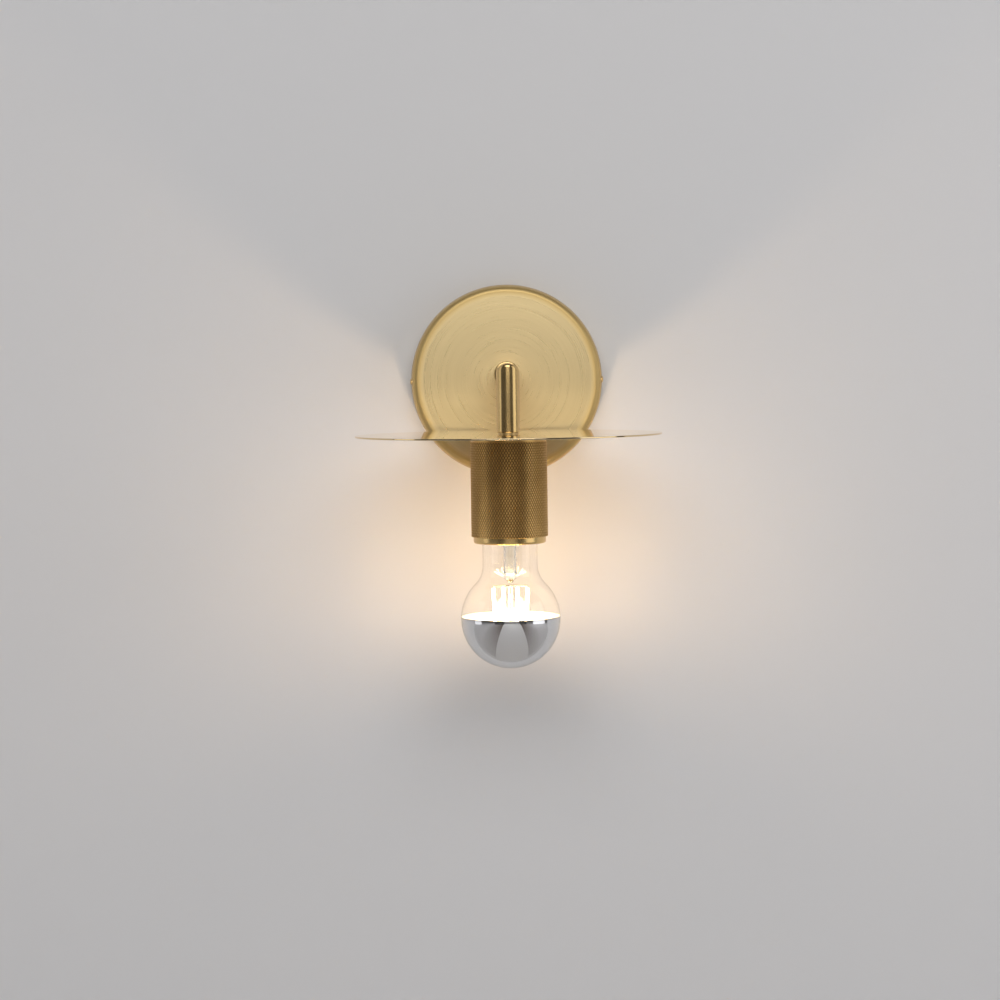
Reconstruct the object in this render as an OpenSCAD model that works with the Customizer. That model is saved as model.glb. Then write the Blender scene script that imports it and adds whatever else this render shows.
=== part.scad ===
// Brass wall light: round canopy, short mitred arm, thin shade disc, knurled E27 lampholder
// and a lamp with a silvered crown.
// Frame: the wall is the plane y = 0, the light stands out towards -Y, and Z is up.
// The origin is the canopy's centre on the wall.

/* [Canopy] */
// Diameter of the canopy at its front shoulder
canopy_d = 120; // [96:1:150]
// Depth of the canopy from the wall to its face
canopy_depth = 22; // [20:1:34]
// Thickness of the spun brass
canopy_wall = 1; // [0.8:0.1:1.6]
// Radius of the rounded front edge
canopy_edge_r = 3.5; // [2:0.5:6]
// How much further out the rim stands at the wall than at the shoulder
canopy_flare = 1.5; // [0:0.5:3]

/* [Wall bracket] */
// Width of the bracket's strap
bracket_w = 28; // [22:1:36]
// Thickness of the bracket's steel
bracket_t = 1.5; // [1:0.1:2.5]
// Distance between the middles of the two wall-screw slots
slot_spacing = 60; // [50:1:70]
// Whole length of a wall-screw slot
slot_l = 12; // [7:1:16]
// Width of a wall-screw slot
slot_w = 5; // [4:0.5:6]
// Hole in the strap for the supply cable
cable_hole_d = 18; // [12:1:20]
// Distance of the side screws from the wall
side_screw_out = 11; // [9:0.5:13]
// Thread of the two side screws
side_screw_d = 3; // [2.5:0.5:5]
// Head of a side screw
side_head_d = 5; // [4:0.5:9]

/* [Arm] */
// Height of the arm's axis above the middle of the canopy
arm_rise = 4.2; // [-4:0.1:8]
// Distance from the canopy's face to the lamp's axis
arm_reach = 96; // [80:1:200]
// Distance from the arm's axis down to the top of the shade disc
arm_drop = 35.5; // [28:0.5:90]
// Outer diameter of the arm's tube
tube_d = 14; // [13:0.5:20]
// Wall of the arm's tube
tube_wall = 1; // [0.6:0.1:1.2]
// Height of the recess between the tube's foot and the disc
foot_gap = 0.9; // [0.5:0.1:2]
// Diameter of the collar where the arm leaves the canopy
collar_d = 16; // [16:0.5:30]
// Thickness of that collar
collar_t = 2.5; // [1:0.5:6]
// Thread diameter of the two hollow nipples
nipple_d = 10; // [9:0.5:10]
// Wire bore of the nipples
nipple_bore = 8; // [7:0.2:8.2]
// Bend radius of the leads inside the elbow
lead_bend_r = 9; // [7:0.5:12]

/* [Shade disc] */
// Diameter of the shade disc
disc_d = 184; // [120:1:260]
// Thickness of the shade disc
disc_t = 1; // [0.8:0.1:3]

/* [Lampholder] */
// Diameter of the knurled cover
holder_d = 46; // [44:0.5:58]
// Height of the cover
cover_h = 60.4; // [57:0.1:80]
// Wall of the cover round the insulator
cover_wall = 2; // [1:0.1:2.5]
// Thickness of the cover's top
cover_top = 2; // [1:0.1:4]
// Height of the plain band at the cover's top
band_h = 3.4; // [2:0.1:8]
// How far the plain band stands back from the knurl
band_step = 0.5; // [0.2:0.1:1]
// Height of the plain ring below the knurl
ring_h = 4; // [3:0.1:10]
// How far the ring stands back from the knurl
ring_step = 1.25; // [0.5:0.05:1.5]
// Opening of the ring round the bulb's neck
ring_bore_d = 35.6; // [35.4:0.1:36.4]
// Length of the ring's threaded spigot
spigot_l = 5; // [3:0.5:6]
// Height of the porcelain insulator
insulator_h = 29.4; // [28:0.1:34]
// Thickness of the insulator above its cavity
insulator_floor = 6.5; // [5:0.5:8]

/* [Lamp] */
// Diameter of the bulb
bulb_d = 60; // [56:0.5:66]
// Length of the lamp from its contact to its crown
bulb_l = 105.6; // [101:0.1:118]
// Diameter of the bulb's neck
neck_d = 33.2; // [31:0.1:34]
// Radius of the blend from the neck into the bulb
neck_blend_r = 16; // [10:1:20]
// Thickness of the glass
glass_t = 1; // [0.6:0.1:1.2]
// Height of the mirror's edge above the middle of the bulb
mirror_rise = 1.5; // [-4:0.1:6]
// Diameter over the cap's thread
cap_d = 26; // [25.9:0.05:26.05]
// Length of the cap's threaded shell
cap_l = 18.6; // [17:0.1:19]
// Number of LED filaments
filament_n = 8; // [4:1:10]
// Length of a filament
filament_l = 30; // [22:1:32]

/* [Fits] */
// Gap on each side of a shank in its hole
shank_gap = 0.05; // [0.02:0.01:0.1]
// Gap on each side of pieces that sit in one another
seat_gap = 0.1; // [0.05:0.05:0.2]
// Gap on each side between the cap's thread and the screw shell
thread_gap = 0.3; // [0.2:0.05:0.4]
// Gap between the lamp's contact and the spring tongue
contact_gap = 0.1; // [0.05:0.05:0.2]
// How far the spring tongue can be pressed up
contact_press = 1; // [0.5:0.1:1.2]

/* [Hidden] */
$fn = 72;

// Brass, steel and the other finishes
brass = "#c8ad72";
polished_brass = "#b08a4a";
steel = "#a9adb2";
porcelain = "#e9e4d8";
nylon = "#e6e6e2";
glass = [0.9, 0.95, 1, 0.35];
silver = "#c9c7c4";

// Cuts run this far past a face
cut = 1;
// Places along the arm and down the lamp
root_out = canopy_depth + collar_t;
lamp_out = canopy_depth + arm_reach;
disc_z = arm_rise - arm_drop;
canopy_face_in = canopy_depth - canopy_wall;
// Slope of the canopy's side and its inner radius where the side screws are
side_slope = canopy_flare / (canopy_depth - canopy_edge_r);
side_r = canopy_d / 2 + side_slope * (canopy_depth - canopy_edge_r - side_screw_out);
ear_h = side_screw_out + side_screw_d;
ear_w = 16;
ear_gap = 0.4;
canopy_inner_r = canopy_d / 2 - canopy_wall;
ear_r = sqrt(pow(canopy_inner_r, 2) - pow(ear_w / 2, 2)) - ear_gap;
strap_r = sqrt(pow(canopy_inner_r, 2) - pow(bracket_w / 2, 2)) - ear_gap;
side_screw_l = 9;
side_head_h = 1.1;
// The terminal block stands on a tab below the strap
pole_pitch = 10;
block_l = 3 * pole_pitch;
block_w = 15;
block_h = 13;
block_up = -bracket_w / 2 - block_w / 2 - 6.5;
pole_out = bracket_t + 5.8;
insert_d = 5.4;
insert_bore = 3.2;
tab_l = block_w + 8.5;
slot_end = slot_spacing / 2 + slot_l / 2;
earth_x = (slot_end + ear_r - bracket_t) / 2;
earth_washer_d = min(9, ear_r - bracket_t - slot_end - 0.4);
// Nuts, washers and bushes on the nipples
nut_af = 14;
nut_h = 3;
washer_d = 15;
washer_t = 0.9;
tag_t = 0.6;
tag_reach = 15;
tag_hole_in = 2.5;
bush_l = 11;
nipple_in = 9;
nipple_out = 2.6;
nipple_hole_d = nipple_d + 2 * seat_gap;
tube_bore = tube_d - 2 * tube_wall;
// Levels below the top of the disc
cover_level = disc_t;
under_top = cover_level + cover_top;
cover_foot = cover_level + cover_h;
ring_foot = cover_foot + ring_h;
nipple_end = under_top + washer_t + tag_t + nut_h + nipple_out;
insulator_foot = cover_foot - spigot_l - seat_gap;
insulator_level = insulator_foot - insulator_h;
cavity_level = insulator_level + insulator_floor;
bulb_level = cavity_level + contact_press + 1;
insulator_d = holder_d - 2 * cover_wall - 4 * seat_gap;
cover_shoulder = 2;
shell_bore = cap_d + 2 * thread_gap;
shell_t = 0.5;
shell_d = shell_bore + 2 * shell_t;
tongue_t = 0.4;
tongue_level = bulb_level - contact_gap - tongue_t;
tongue_pivot = 8.5;
tongue_tip = -4;
tongue_w = 6;
terminal_x = 11;
terminal_h = 6;
// The lamp
bulb_r = bulb_d / 2;
bulb_foot = bulb_level + bulb_l;
bulb_mid = bulb_foot - bulb_r;
neck_r = neck_d / 2;
blend_x = neck_r + neck_blend_r;
blend_level = bulb_mid - sqrt(pow(bulb_r + neck_blend_r, 2) - pow(blend_x, 2));
cap_level = bulb_level + 6;
cap_foot = cap_level + cap_l;
cap_wall = 0.4;
seal_r = cap_d / 2 - cap_wall - 4 * seat_gap;
stem_r = 4;
stem_foot = bulb_mid - 22.5;
filament_d = 1.8;
filament_top_r = 11.2;
filament_foot_r = 9.6;
filament_level = stem_foot + 3.5;
rod_foot = filament_level + filament_l + 1.4;
wire_d = 0.7;
rod_d = 2.4;
hub_d = 4;
board_w = 15;
// Leads: insulated diameter, bare diameter and how far each lies from the middle of the bundle
lead_d = 2.2;
core_d = 1.1;
bundle_r = 1.8;
lead_sides = 8;

// ---------- frames and shared shapes ----------

// Local z runs out from the wall, local y runs up
module from_wall() rotate([90, 0, 0]) children();

// Local z runs down the lamp's axis from the top of the shade disc
module down_lamp() translate([0, -lamp_out, disc_z]) mirror([0, 0, 1]) children();

module tube(d, bore, h) {
    difference() {
        cylinder(d = d, h = h);
        translate([0, 0, -cut]) cylinder(d = bore, h = h + 2 * cut);
    }
}

// Hexagon nut with its foot on z = 0
module hex_nut(af, bore, h) {
    difference() {
        cylinder(d = af / cos(30), h = h, $fn = 6);
        translate([0, 0, -cut]) cylinder(d = bore, h = h + 2 * cut);
    }
}

// Washer with teeth cut in from its rim
module toothed_washer(d, bore, t, teeth = 8) {
    difference() {
        tube(d, bore, t);
        for (i = [0 : teeth - 1])
            rotate([0, 0, (i + 0.5) * 360 / teeth])
                translate([d / 2 - 1.2, -0.6, -cut]) cube([3, 1.2, t + 2 * cut]);
    }
}

// Slotted screw: the head stands on z = 0 and the shank runs down from it
module slotted_screw(d, l, head_d, head_h) {
    dome_r = (pow(head_d / 2, 2) + pow(head_h, 2)) / (2 * head_h);
    translate([0, 0, -l]) cylinder(d = d, h = l);
    difference() {
        intersection() {
            cylinder(d = head_d, h = head_h);
            translate([0, 0, head_h - dome_r]) sphere(r = dome_r);
        }
        translate([-head_d, -head_d / 12, head_h * 0.55]) cube([2 * head_d, head_d / 6, head_h]);
    }
}

// Slot with round ends, running along x
module slot(l, w, h) {
    for (x = [-1, 1]) translate([x * (l - w) / 2, 0, 0]) cylinder(d = w, h = h);
    translate([-(l - w) / 2, -w / 2, 0]) cube([l - w, w, h]);
}

// ---------- sweep for the leads ----------

// Catmull-Rom curve through the points, n steps to a stretch
function curve_at(a, b, c, d, t) =
    0.5 * (2 * b + (c - a) * t + (2 * a - 5 * b + 4 * c - d) * t * t
    + (3 * b - a - 3 * c + d) * t * t * t);
function smooth(p, n) = concat(
    [for (i = [0 : len(p) - 2]) for (k = [0 : n - 1])
        curve_at(p[max(i - 1, 0)], p[i], p[i + 1], p[min(i + 2, len(p) - 1)], k / n)],
    [p[len(p) - 1]]);
function unit(v) = v / norm(v);
function heading(p, i) = unit(p[min(i + 1, len(p) - 1)] - p[max(i - 1, 0)]);

// Round tube along the points, bare at both ends; side is a direction the route never takes
module lead(p, side = [1, 0, 0]) {
    rings = len(p);
    ring_points = [for (i = [0 : rings - 1])
        let (t = heading(p, i), u = unit(cross(t, side)), v = cross(t, u),
            r = (i < 3 || i > rings - 3) ? core_d / 2 : lead_d / 2)
        for (k = [0 : lead_sides - 1])
            p[i] + r * (cos(k * 360 / lead_sides) * u + sin(k * 360 / lead_sides) * v)];
    walls = [for (i = [0 : rings - 2]) for (k = [0 : lead_sides - 1])
        let (a = i * lead_sides + k, b = i * lead_sides + (k + 1) % lead_sides)
        for (face = [[a, b, b + lead_sides], [a, b + lead_sides, a + lead_sides]]) face];
    caps = [[for (k = [lead_sides - 1 : -1 : 0]) k],
        [for (k = [0 : lead_sides - 1]) (rings - 1) * lead_sides + k]];
    polyhedron(points = ring_points, faces = concat([for (f = walls) [f[2], f[1], f[0]]],
        [for (f = caps) [for (k = [len(f) - 1 : -1 : 0]) f[k]]]), convexity = 8);
}

// Route through the arm: along the arm's axis, round the elbow and down to the holder nipple.
// ox and on place the lead in the bundle, across and towards the outside of the bend.
function arm_route(ox, on) = concat(
    [for (y = [canopy_depth - 5, root_out + bush_l, (root_out + lamp_out) / 2])
        [ox, -y, arm_rise + on]],
    [for (a = [0 : 15 : 90])
        [ox, -(lamp_out - lead_bend_r + (lead_bend_r + on) * sin(a)),
            arm_rise - lead_bend_r + (lead_bend_r + on) * cos(a)]],
    [for (s = [-nipple_in, 0, nipple_end]) [ox, -lamp_out - on, disc_z - s]]);

// Route of one lead from its pole on the terminal block to a point in the lampholder
function lead_route(pole_x, ox, on, finish) = concat(
    [for (up = [4 - block_w / 2, block_w / 2 - 0.5, block_w / 2 + 3])
        [pole_x, -pole_out, block_up + up]],
    [[pole_x * 0.75, -pole_out, block_up / 2],
        [pole_x * 0.35 + ox / 2, -pole_out - 0.6, arm_rise + on - 8],
        [ox, -pole_out - 3.6, arm_rise + on - 1.6]],
    arm_route(ox, on), finish);

// ---------- wall side ----------

// Strap on the wall with two ears for the side screws and a tab for the terminal block
module wall_bracket() {
    color(steel) difference() {
        union() {
            translate([-strap_r, -bracket_t, -bracket_w / 2])
                cube([2 * strap_r, bracket_t, bracket_w]);
            translate([-ear_r, -bracket_t, -ear_w / 2]) cube([2 * ear_r, bracket_t, ear_w]);
            for (x = [-1, 1])
                translate([x < 0 ? -ear_r : ear_r - bracket_t, -ear_h, -ear_w / 2])
                    cube([bracket_t, ear_h, ear_w]);
            translate([-block_l / 2 - 1, -bracket_t, -bracket_w / 2 - tab_l])
                cube([block_l + 2, bracket_t, tab_l + cut]);
        }
        from_wall() translate([0, 0, -cut]) {
            cylinder(d = cable_hole_d, h = bracket_t + 2 * cut);
            for (x = [-1, 1]) translate([x * slot_spacing / 2, 0, 0])
                slot(slot_l, slot_w, bracket_t + 2 * cut);
            translate([earth_x, 0, 0])
                cylinder(d = 4 + 2 * shank_gap, h = bracket_t + 2 * cut);
            translate([pole_pitch / 2, block_up, 0])
                cylinder(d = 2.6 + 2 * shank_gap, h = bracket_t + 2 * cut);
        }
        translate([-ear_r - cut, -side_screw_out, 0]) rotate([0, 90, 0])
            cylinder(d = side_screw_d + 2 * shank_gap, h = 2 * ear_r + 2 * cut);
    }
}

// Screw and washer that earth the bracket
module bracket_earth_screw() {
    color(brass) translate([earth_x, -bracket_t - 0.02, 0]) from_wall() {
        translate([0, 0, 1]) slotted_screw(4, bracket_t + 0.8, 7, 2.2);
        difference() {
            cylinder(d = earth_washer_d, h = 1);
            translate([0, 0, -cut]) cylinder(d = 3.6, h = 1 + 2 * cut);
        }
    }
}

// Half outline of the canopy, inset from its outer face
module canopy_outline(inset) {
    shoulder_r = canopy_d / 2;
    polygon([
        [0, inset > 0 ? -cut : 0],
        [shoulder_r + canopy_flare - inset + (inset > 0 ? side_slope * cut : 0), inset > 0 ? -cut : 0],
        [shoulder_r - inset, canopy_depth - canopy_edge_r],
        [shoulder_r - canopy_edge_r, canopy_depth - canopy_edge_r],
        [shoulder_r - canopy_edge_r, canopy_depth - inset],
        [0, canopy_depth - inset]
    ]);
    translate([shoulder_r - canopy_edge_r, canopy_depth - canopy_edge_r])
        circle(r = canopy_edge_r - inset);
}

// Spun cup with a rounded front edge, the arm's hole and two side-screw holes
module canopy() {
    color(brass) difference() {
        from_wall() difference() {
            rotate_extrude() canopy_outline(0);
            rotate_extrude() canopy_outline(canopy_wall);
            translate([0, arm_rise, canopy_depth - 5]) cylinder(d = nipple_hole_d, h = 10);
        }
        translate([-canopy_d, -side_screw_out, 0]) rotate([0, 90, 0])
            cylinder(d = side_screw_d + 4 * seat_gap, h = 2 * canopy_d);
    }
}

// Two domed screws that hold the canopy on the bracket's ears
module canopy_side_screws() {
    head_at = side_r + side_slope * side_head_d / 2 + seat_gap / 2;
    color(polished_brass) for (x = [-1, 1])
        translate([x * head_at, -side_screw_out, 0]) rotate([0, x * 90, 0])
            slotted_screw(side_screw_d, side_screw_l, side_head_d, side_head_h);
}

// Places of the three poles and of the two screws on each
module at_poles() for (i = [-1 : 1]) translate([i * pole_pitch, block_up, 0]) children();
module at_pole_screws() at_poles() for (y = [-1, 1]) translate([0, y * 4.2, 0]) children();

// Nylon body of the three-pole block, with a bore for each insert and a well for each screw
module terminal_block() {
    color(nylon) from_wall() difference() {
        translate([-block_l / 2, block_up - block_w / 2, bracket_t]) cube([block_l, block_w, block_h]);
        at_poles() translate([0, 0, pole_out]) rotate([90, 0, 0])
            cylinder(d = insert_d + 2 * shank_gap, h = 2 * block_w, center = true);
        at_pole_screws() translate([0, 0, pole_out]) cylinder(d = 4.2, h = block_h);
        translate([pole_pitch / 2, block_up, 0]) cylinder(d = 2.8, h = block_h + 2 * bracket_t);
        translate([pole_pitch / 2, block_up, bracket_t + block_h - 3]) cylinder(d = 5, h = 10);
        for (i = [-1, 1]) translate([i * pole_pitch / 2 - 0.5, block_up - block_w, bracket_t + block_h - 3])
            cube([1, block_w * 0.7, 10]);
    }
}

// Brass tubes that hold the wires
module terminal_inserts() {
    color(brass) from_wall() at_poles() difference() {
        translate([0, 0, pole_out]) rotate([90, 0, 0])
            cylinder(d = insert_d, h = block_w - 1, center = true);
        translate([0, 0, pole_out]) rotate([90, 0, 0])
            cylinder(d = insert_bore, h = block_w + 2 * cut, center = true);
        for (y = [-1, 1]) translate([0, y * 4.2, pole_out])
            cylinder(d = 2.5 + 2 * shank_gap, h = insert_d);
    }
}

// Six screws that clamp the wires
module terminal_screws() {
    color(steel) from_wall() at_pole_screws()
        translate([0, 0, pole_out + insert_d / 2 + 0.9]) slotted_screw(2.5, 2.8, 3.8, 1.6);
}

// Screw that holds the block on the bracket's tab
module terminal_fixing_screw() {
    color(steel) from_wall() translate([pole_pitch / 2, block_up, bracket_t + block_h - 2.9])
        slotted_screw(2.6, bracket_t + block_h - 3, 4.6, 1.8);
}

// ---------- arm ----------

// Collar between the canopy and the foot of the arm
module arm_collar() {
    color(brass) from_wall() translate([0, arm_rise, canopy_depth]) difference() {
        cylinder(d = collar_d, h = collar_t);
        translate([0, 0, -cut]) cylinder(d = nipple_hole_d, h = collar_t + 2 * cut);
    }
}

// Solid L with a 45 degree mitre, running on past both ends by more
module mitred_bar(d, more) {
    reach = lamp_out - root_out;
    drop = arm_drop - foot_gap;
    translate([0, -lamp_out, arm_rise]) {
        difference() {
            rotate([-90, 0, 0]) translate([0, 0, -d]) cylinder(d = d, h = reach + d + more);
            rotate([45, 0, 0]) translate([-d, -4 * d, -2 * d]) cube([2 * d, 4 * d, 4 * d]);
        }
        difference() {
            translate([0, 0, -drop - more]) cylinder(d = d, h = drop + d + more);
            rotate([45, 0, 0]) translate([-d, 0, -2 * d]) cube([2 * d, 4 * d, 4 * d]);
        }
    }
}

// Brass tube, mitred and brazed at the elbow
module arm_tube() {
    color(polished_brass) difference() {
        mitred_bar(tube_d, 0);
        mitred_bar(tube_bore, cut);
    }
}

// Threaded bush brazed into the tube, with its foot on z = 0
module end_bush(l) tube(tube_bore - 2 * shank_gap, nipple_d + 2 * shank_gap, l);

module arm_root_bush() {
    color(brass) from_wall() translate([0, arm_rise, root_out]) end_bush(bush_l);
}

module arm_foot_bush() {
    color(brass) down_lamp() translate([0, 0, -bush_l - foot_gap]) end_bush(bush_l + foot_gap);
}

// Hollow threaded nipple from inside the canopy into the arm's root
module arm_nipple() {
    behind = washer_t + nut_h + nipple_out;
    color(steel) from_wall() translate([0, arm_rise, canopy_face_in - behind])
        tube(nipple_d, nipple_bore, behind + canopy_wall + collar_t + nipple_in);
}

module arm_lock_washer() {
    color(steel) from_wall() translate([0, arm_rise, canopy_face_in - washer_t])
        toothed_washer(washer_d, nipple_hole_d, washer_t);
}

module arm_nut() {
    color(steel) from_wall() translate([0, arm_rise, canopy_face_in - washer_t - nut_h])
        hex_nut(nut_af, nipple_d + 2 * shank_gap, nut_h);
}

// Flanged bush that keeps the leads off the nipple's edge
module arm_wire_bush() {
    at = canopy_face_in - washer_t - nut_h - nipple_out;
    color(nylon) from_wall() translate([0, arm_rise, at - 1]) difference() {
        union() {
            cylinder(d = nipple_d, h = 1);
            cylinder(d = nipple_bore - 2 * shank_gap, h = 5);
        }
        translate([0, 0, -cut]) cylinder(d = nipple_bore - 1.4, h = 5 + 2 * cut);
    }
}

// ---------- shade disc and lampholder ----------

module shade_disc() {
    color(brass) down_lamp() tube(disc_d, nipple_hole_d, disc_t);
}

// Hollow threaded nipple from the arm's foot through the disc into the cover
module holder_nipple() {
    color(steel) down_lamp() translate([0, 0, -nipple_in])
        tube(nipple_d, nipple_bore, nipple_in + nipple_end);
}

module holder_lock_washer() {
    color(steel) down_lamp() translate([0, 0, under_top])
        toothed_washer(washer_d, nipple_hole_d, washer_t);
}

// Ring and tab under the nut, where the earth lead is soldered
module holder_earth_tag() {
    color(brass) down_lamp() translate([0, 0, under_top + washer_t]) difference() {
        union() {
            cylinder(d = washer_d, h = tag_t);
            translate([-2.5, -tag_reach, 0]) cube([5, tag_reach, tag_t]);
        }
        translate([0, 0, -cut]) cylinder(d = nipple_hole_d, h = tag_t + 2 * cut);
        translate([0, tag_hole_in - tag_reach, -cut]) cylinder(d = core_d + 0.4, h = tag_t + 2 * cut);
    }
}

module holder_nut() {
    color(steel) down_lamp() translate([0, 0, under_top + washer_t + tag_t])
        hex_nut(nut_af, nipple_d + 2 * shank_gap, nut_h);
}

// Deep brass cup: plain band, knurled side and a shoulder for the insulator
module holder_cover() {
    bore_d = holder_d - 2 * cover_wall;
    color(polished_brass) down_lamp() difference() {
        union() {
            translate([0, 0, cover_level + 0.5])
                cylinder(d = holder_d - 2 * band_step, h = band_h);
            translate([0, 0, cover_level])
                cylinder(d1 = holder_d - 2 * band_step - 1, d2 = holder_d - 2 * band_step, h = 0.5);
            translate([0, 0, cover_level + band_h]) cylinder(d = holder_d, h = cover_h - band_h);
        }
        translate([0, 0, under_top])
            cylinder(d = bore_d - 2 * cover_shoulder, h = cover_h);
        translate([0, 0, insulator_level]) cylinder(d = bore_d, h = cover_h);
        translate([0, 0, cover_level - cut]) cylinder(d = nipple_hole_d, h = cover_top + 2 * cut);
    }
}

// Plain ring with a rounded lower edge, screwed into the cover to hold the insulator
module holder_ring() {
    ring_r = holder_d / 2 - ring_step;
    spigot_r = holder_d / 2 - cover_wall - seat_gap;
    round_r = 1.2;
    color(polished_brass) down_lamp() rotate_extrude() difference() {
        union() {
            polygon([
                [ring_bore_d / 2, insulator_foot + seat_gap],
                [spigot_r, insulator_foot + seat_gap],
                [spigot_r, cover_foot],
                [ring_r, cover_foot],
                [ring_r, ring_foot - round_r],
                [ring_r - round_r, ring_foot - round_r],
                [ring_r - round_r, ring_foot],
                [ring_bore_d / 2, ring_foot]
            ]);
            translate([ring_r - round_r, ring_foot - round_r]) circle(r = round_r);
        }
    }
}

// Porcelain body with a cavity for the screw shell
module holder_insulator() {
    color(porcelain) down_lamp() difference() {
        translate([0, 0, insulator_level]) cylinder(d = insulator_d, h = insulator_h);
        translate([0, 0, cavity_level])
            cylinder(d = shell_d + 2 * seat_gap, h = insulator_h);
        for (x = [-1, 1]) translate([x * terminal_x, 0, insulator_level - cut])
            cylinder(d = 2.6 + 2 * seat_gap, h = insulator_floor + 2 * cut);
    }
}

// Brass shell that takes the lamp's thread
module screw_shell() {
    color(brass) down_lamp() difference() {
        translate([0, 0, cavity_level]) cylinder(d = shell_d, h = insulator_foot - cavity_level);
        translate([0, 0, cavity_level + shell_t])
            cylinder(d = shell_bore, h = insulator_h);
        translate([0, 0, cavity_level - cut]) cylinder(d = 24, h = shell_t + 2 * cut);
    }
}

// Two clamp blocks on the insulator, each with a wire bore
module holder_terminals() {
    color(brass) down_lamp() for (x = [-1, 1]) translate([x * terminal_x, 0, insulator_level]) {
        difference() {
            translate([-3, -3, -terminal_h]) cube([6, 6, terminal_h]);
            translate([0, 0, -terminal_h - cut]) cylinder(d = 2, h = 4);
            translate([0, -3 - cut, -terminal_h + 2]) rotate([-90, 0, 0])
                cylinder(d = 2.5 + 2 * shank_gap, h = 3);
        }
        cylinder(d = 2.6, h = insulator_floor - seat_gap);
    }
}

module holder_terminal_screws() {
    color(steel) down_lamp() for (x = [-1, 1])
        translate([x * terminal_x, -3.1, insulator_level - terminal_h + 2]) rotate([90, 0, 0])
            slotted_screw(2.5, 1.6, 4, 1.4);
}

// Bronze foot of the centre contact, held on the cavity's floor by the live terminal's rivet
module contact_anchor() {
    color(brass) down_lamp() translate([tongue_pivot + 0.4, -tongue_w / 2, cavity_level + 0.02])
        difference() {
            cube([2.6, tongue_w, tongue_level + tongue_t - cavity_level - 0.02]);
            translate([-cut, -cut, 0.5]) cube([2 + cut, tongue_w + 2 * cut, 0.6]);
        }
}

// Spring tongue that bears on the lamp's contact
module contact_tongue() {
    color(brass) down_lamp() {
        translate([tongue_tip, -tongue_w / 2, tongue_level])
            cube([tongue_pivot - tongue_tip, tongue_w, tongue_t]);
        translate([tongue_pivot - 0.5, -tongue_w / 2, tongue_level - 0.6])
            cube([0.5, tongue_w, 0.6]);
    }
}

// ---------- leads ----------

lead_end = insulator_level - terminal_h;

// From the nipple to the clamp block on one side
function to_terminal(side) = [
    [side * terminal_x * 0.45, -lamp_out, disc_z - lead_end + 6.5],
    [side * terminal_x * 0.9, -lamp_out, disc_z - lead_end + 3],
    [side * terminal_x, -lamp_out, disc_z - lead_end - 1]];

module live_lead() {
    color("saddlebrown") lead(smooth(
        lead_route(pole_pitch, bundle_r * cos(30), -bundle_r / 2, to_terminal(1)), 2));
}

module neutral_lead() {
    color("royalblue") lead(smooth(
        lead_route(-pole_pitch, -bundle_r * cos(30), -bundle_r / 2, to_terminal(-1)), 2));
}

// The earth lead turns back up to the tag under the nut
module earth_lead() {
    turn_y = -lamp_out - tag_reach + tag_hole_in;
    exit_z = disc_z - nipple_end;
    color("yellowgreen") lead(smooth(lead_route(0, 0, bundle_r, [
        [0, -lamp_out - bundle_r - 1.6, exit_z - 3.6],
        [0, (turn_y - lamp_out - bundle_r) / 2, exit_z - 5.2],
        [0, turn_y + 0.8, exit_z - 2.8],
        [0, turn_y, disc_z - under_top - washer_t - tag_t - 2],
        [0, turn_y, disc_z - under_top - washer_t + 0.4]]), 2));
}

// From the block's earth pole round to the screw on the strap
module bracket_earth_lead() {
    below = block_up - block_w / 2;
    color("yellowgreen") lead(smooth([
        [0, -pole_out, below + 3],
        [0, -pole_out, below + 1],
        [0, -pole_out, below - 2.5],
        [block_l * 0.2, -pole_out, below - 7],
        [block_l * 0.5, -pole_out, below - 6],
        [block_l * 0.5 + 9, -pole_out, block_up * 0.85],
        [earth_x - 6, -pole_out + 1, -16],
        [earth_x - 0.5, -bracket_t - 3, -9],
        [earth_x, -bracket_t - 1.65, -4.2]], 2), [0, 1, 0]);
}

// ---------- lamp ----------

// Solid half outline of the bulb below its seal, inset from the outer face
module bulb_outline(inset) {
    translate([0, bulb_mid]) intersection() {
        circle(r = bulb_r - inset);
        translate([0, -bulb_d]) square([bulb_d, 2 * bulb_d]);
    }
    tangent_x = blend_x * bulb_r / (bulb_r + neck_blend_r);
    tangent_level = bulb_mid - (bulb_mid - blend_level) * bulb_r / (bulb_r + neck_blend_r);
    difference() {
        polygon([[0, cap_foot + 4], [neck_r - inset, cap_foot + 4], [neck_r - inset, blend_level],
            [blend_x, blend_level], [tangent_x, tangent_level], [0, bulb_mid]]);
        translate([blend_x, blend_level]) circle(r = neck_blend_r + inset);
    }
    polygon([[0, cap_foot - 8], [seal_r - inset, cap_foot - 8], [seal_r - inset, cap_foot],
        [neck_r - inset, cap_foot + 4], [neck_r - inset, cap_foot + 5], [0, cap_foot + 5]]);
}

module bulb_glass() {
    color(glass) down_lamp() difference() {
        rotate_extrude() bulb_outline(0);
        rotate_extrude() bulb_outline(glass_t);
        translate([0, 0, cap_foot - 8 - cut]) cylinder(r = seal_r - glass_t, h = 2 * cut);
    }
}

// Silver coat on the inside of the crown
module bulb_mirror() {
    out_r = bulb_r - glass_t - shank_gap;
    color(silver) down_lamp() translate([0, 0, bulb_mid]) rotate_extrude() intersection() {
        difference() {
            circle(r = out_r);
            circle(r = out_r - 0.3);
        }
        translate([0, -mirror_rise]) square([bulb_d, bulb_d]);
    }
}

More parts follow.
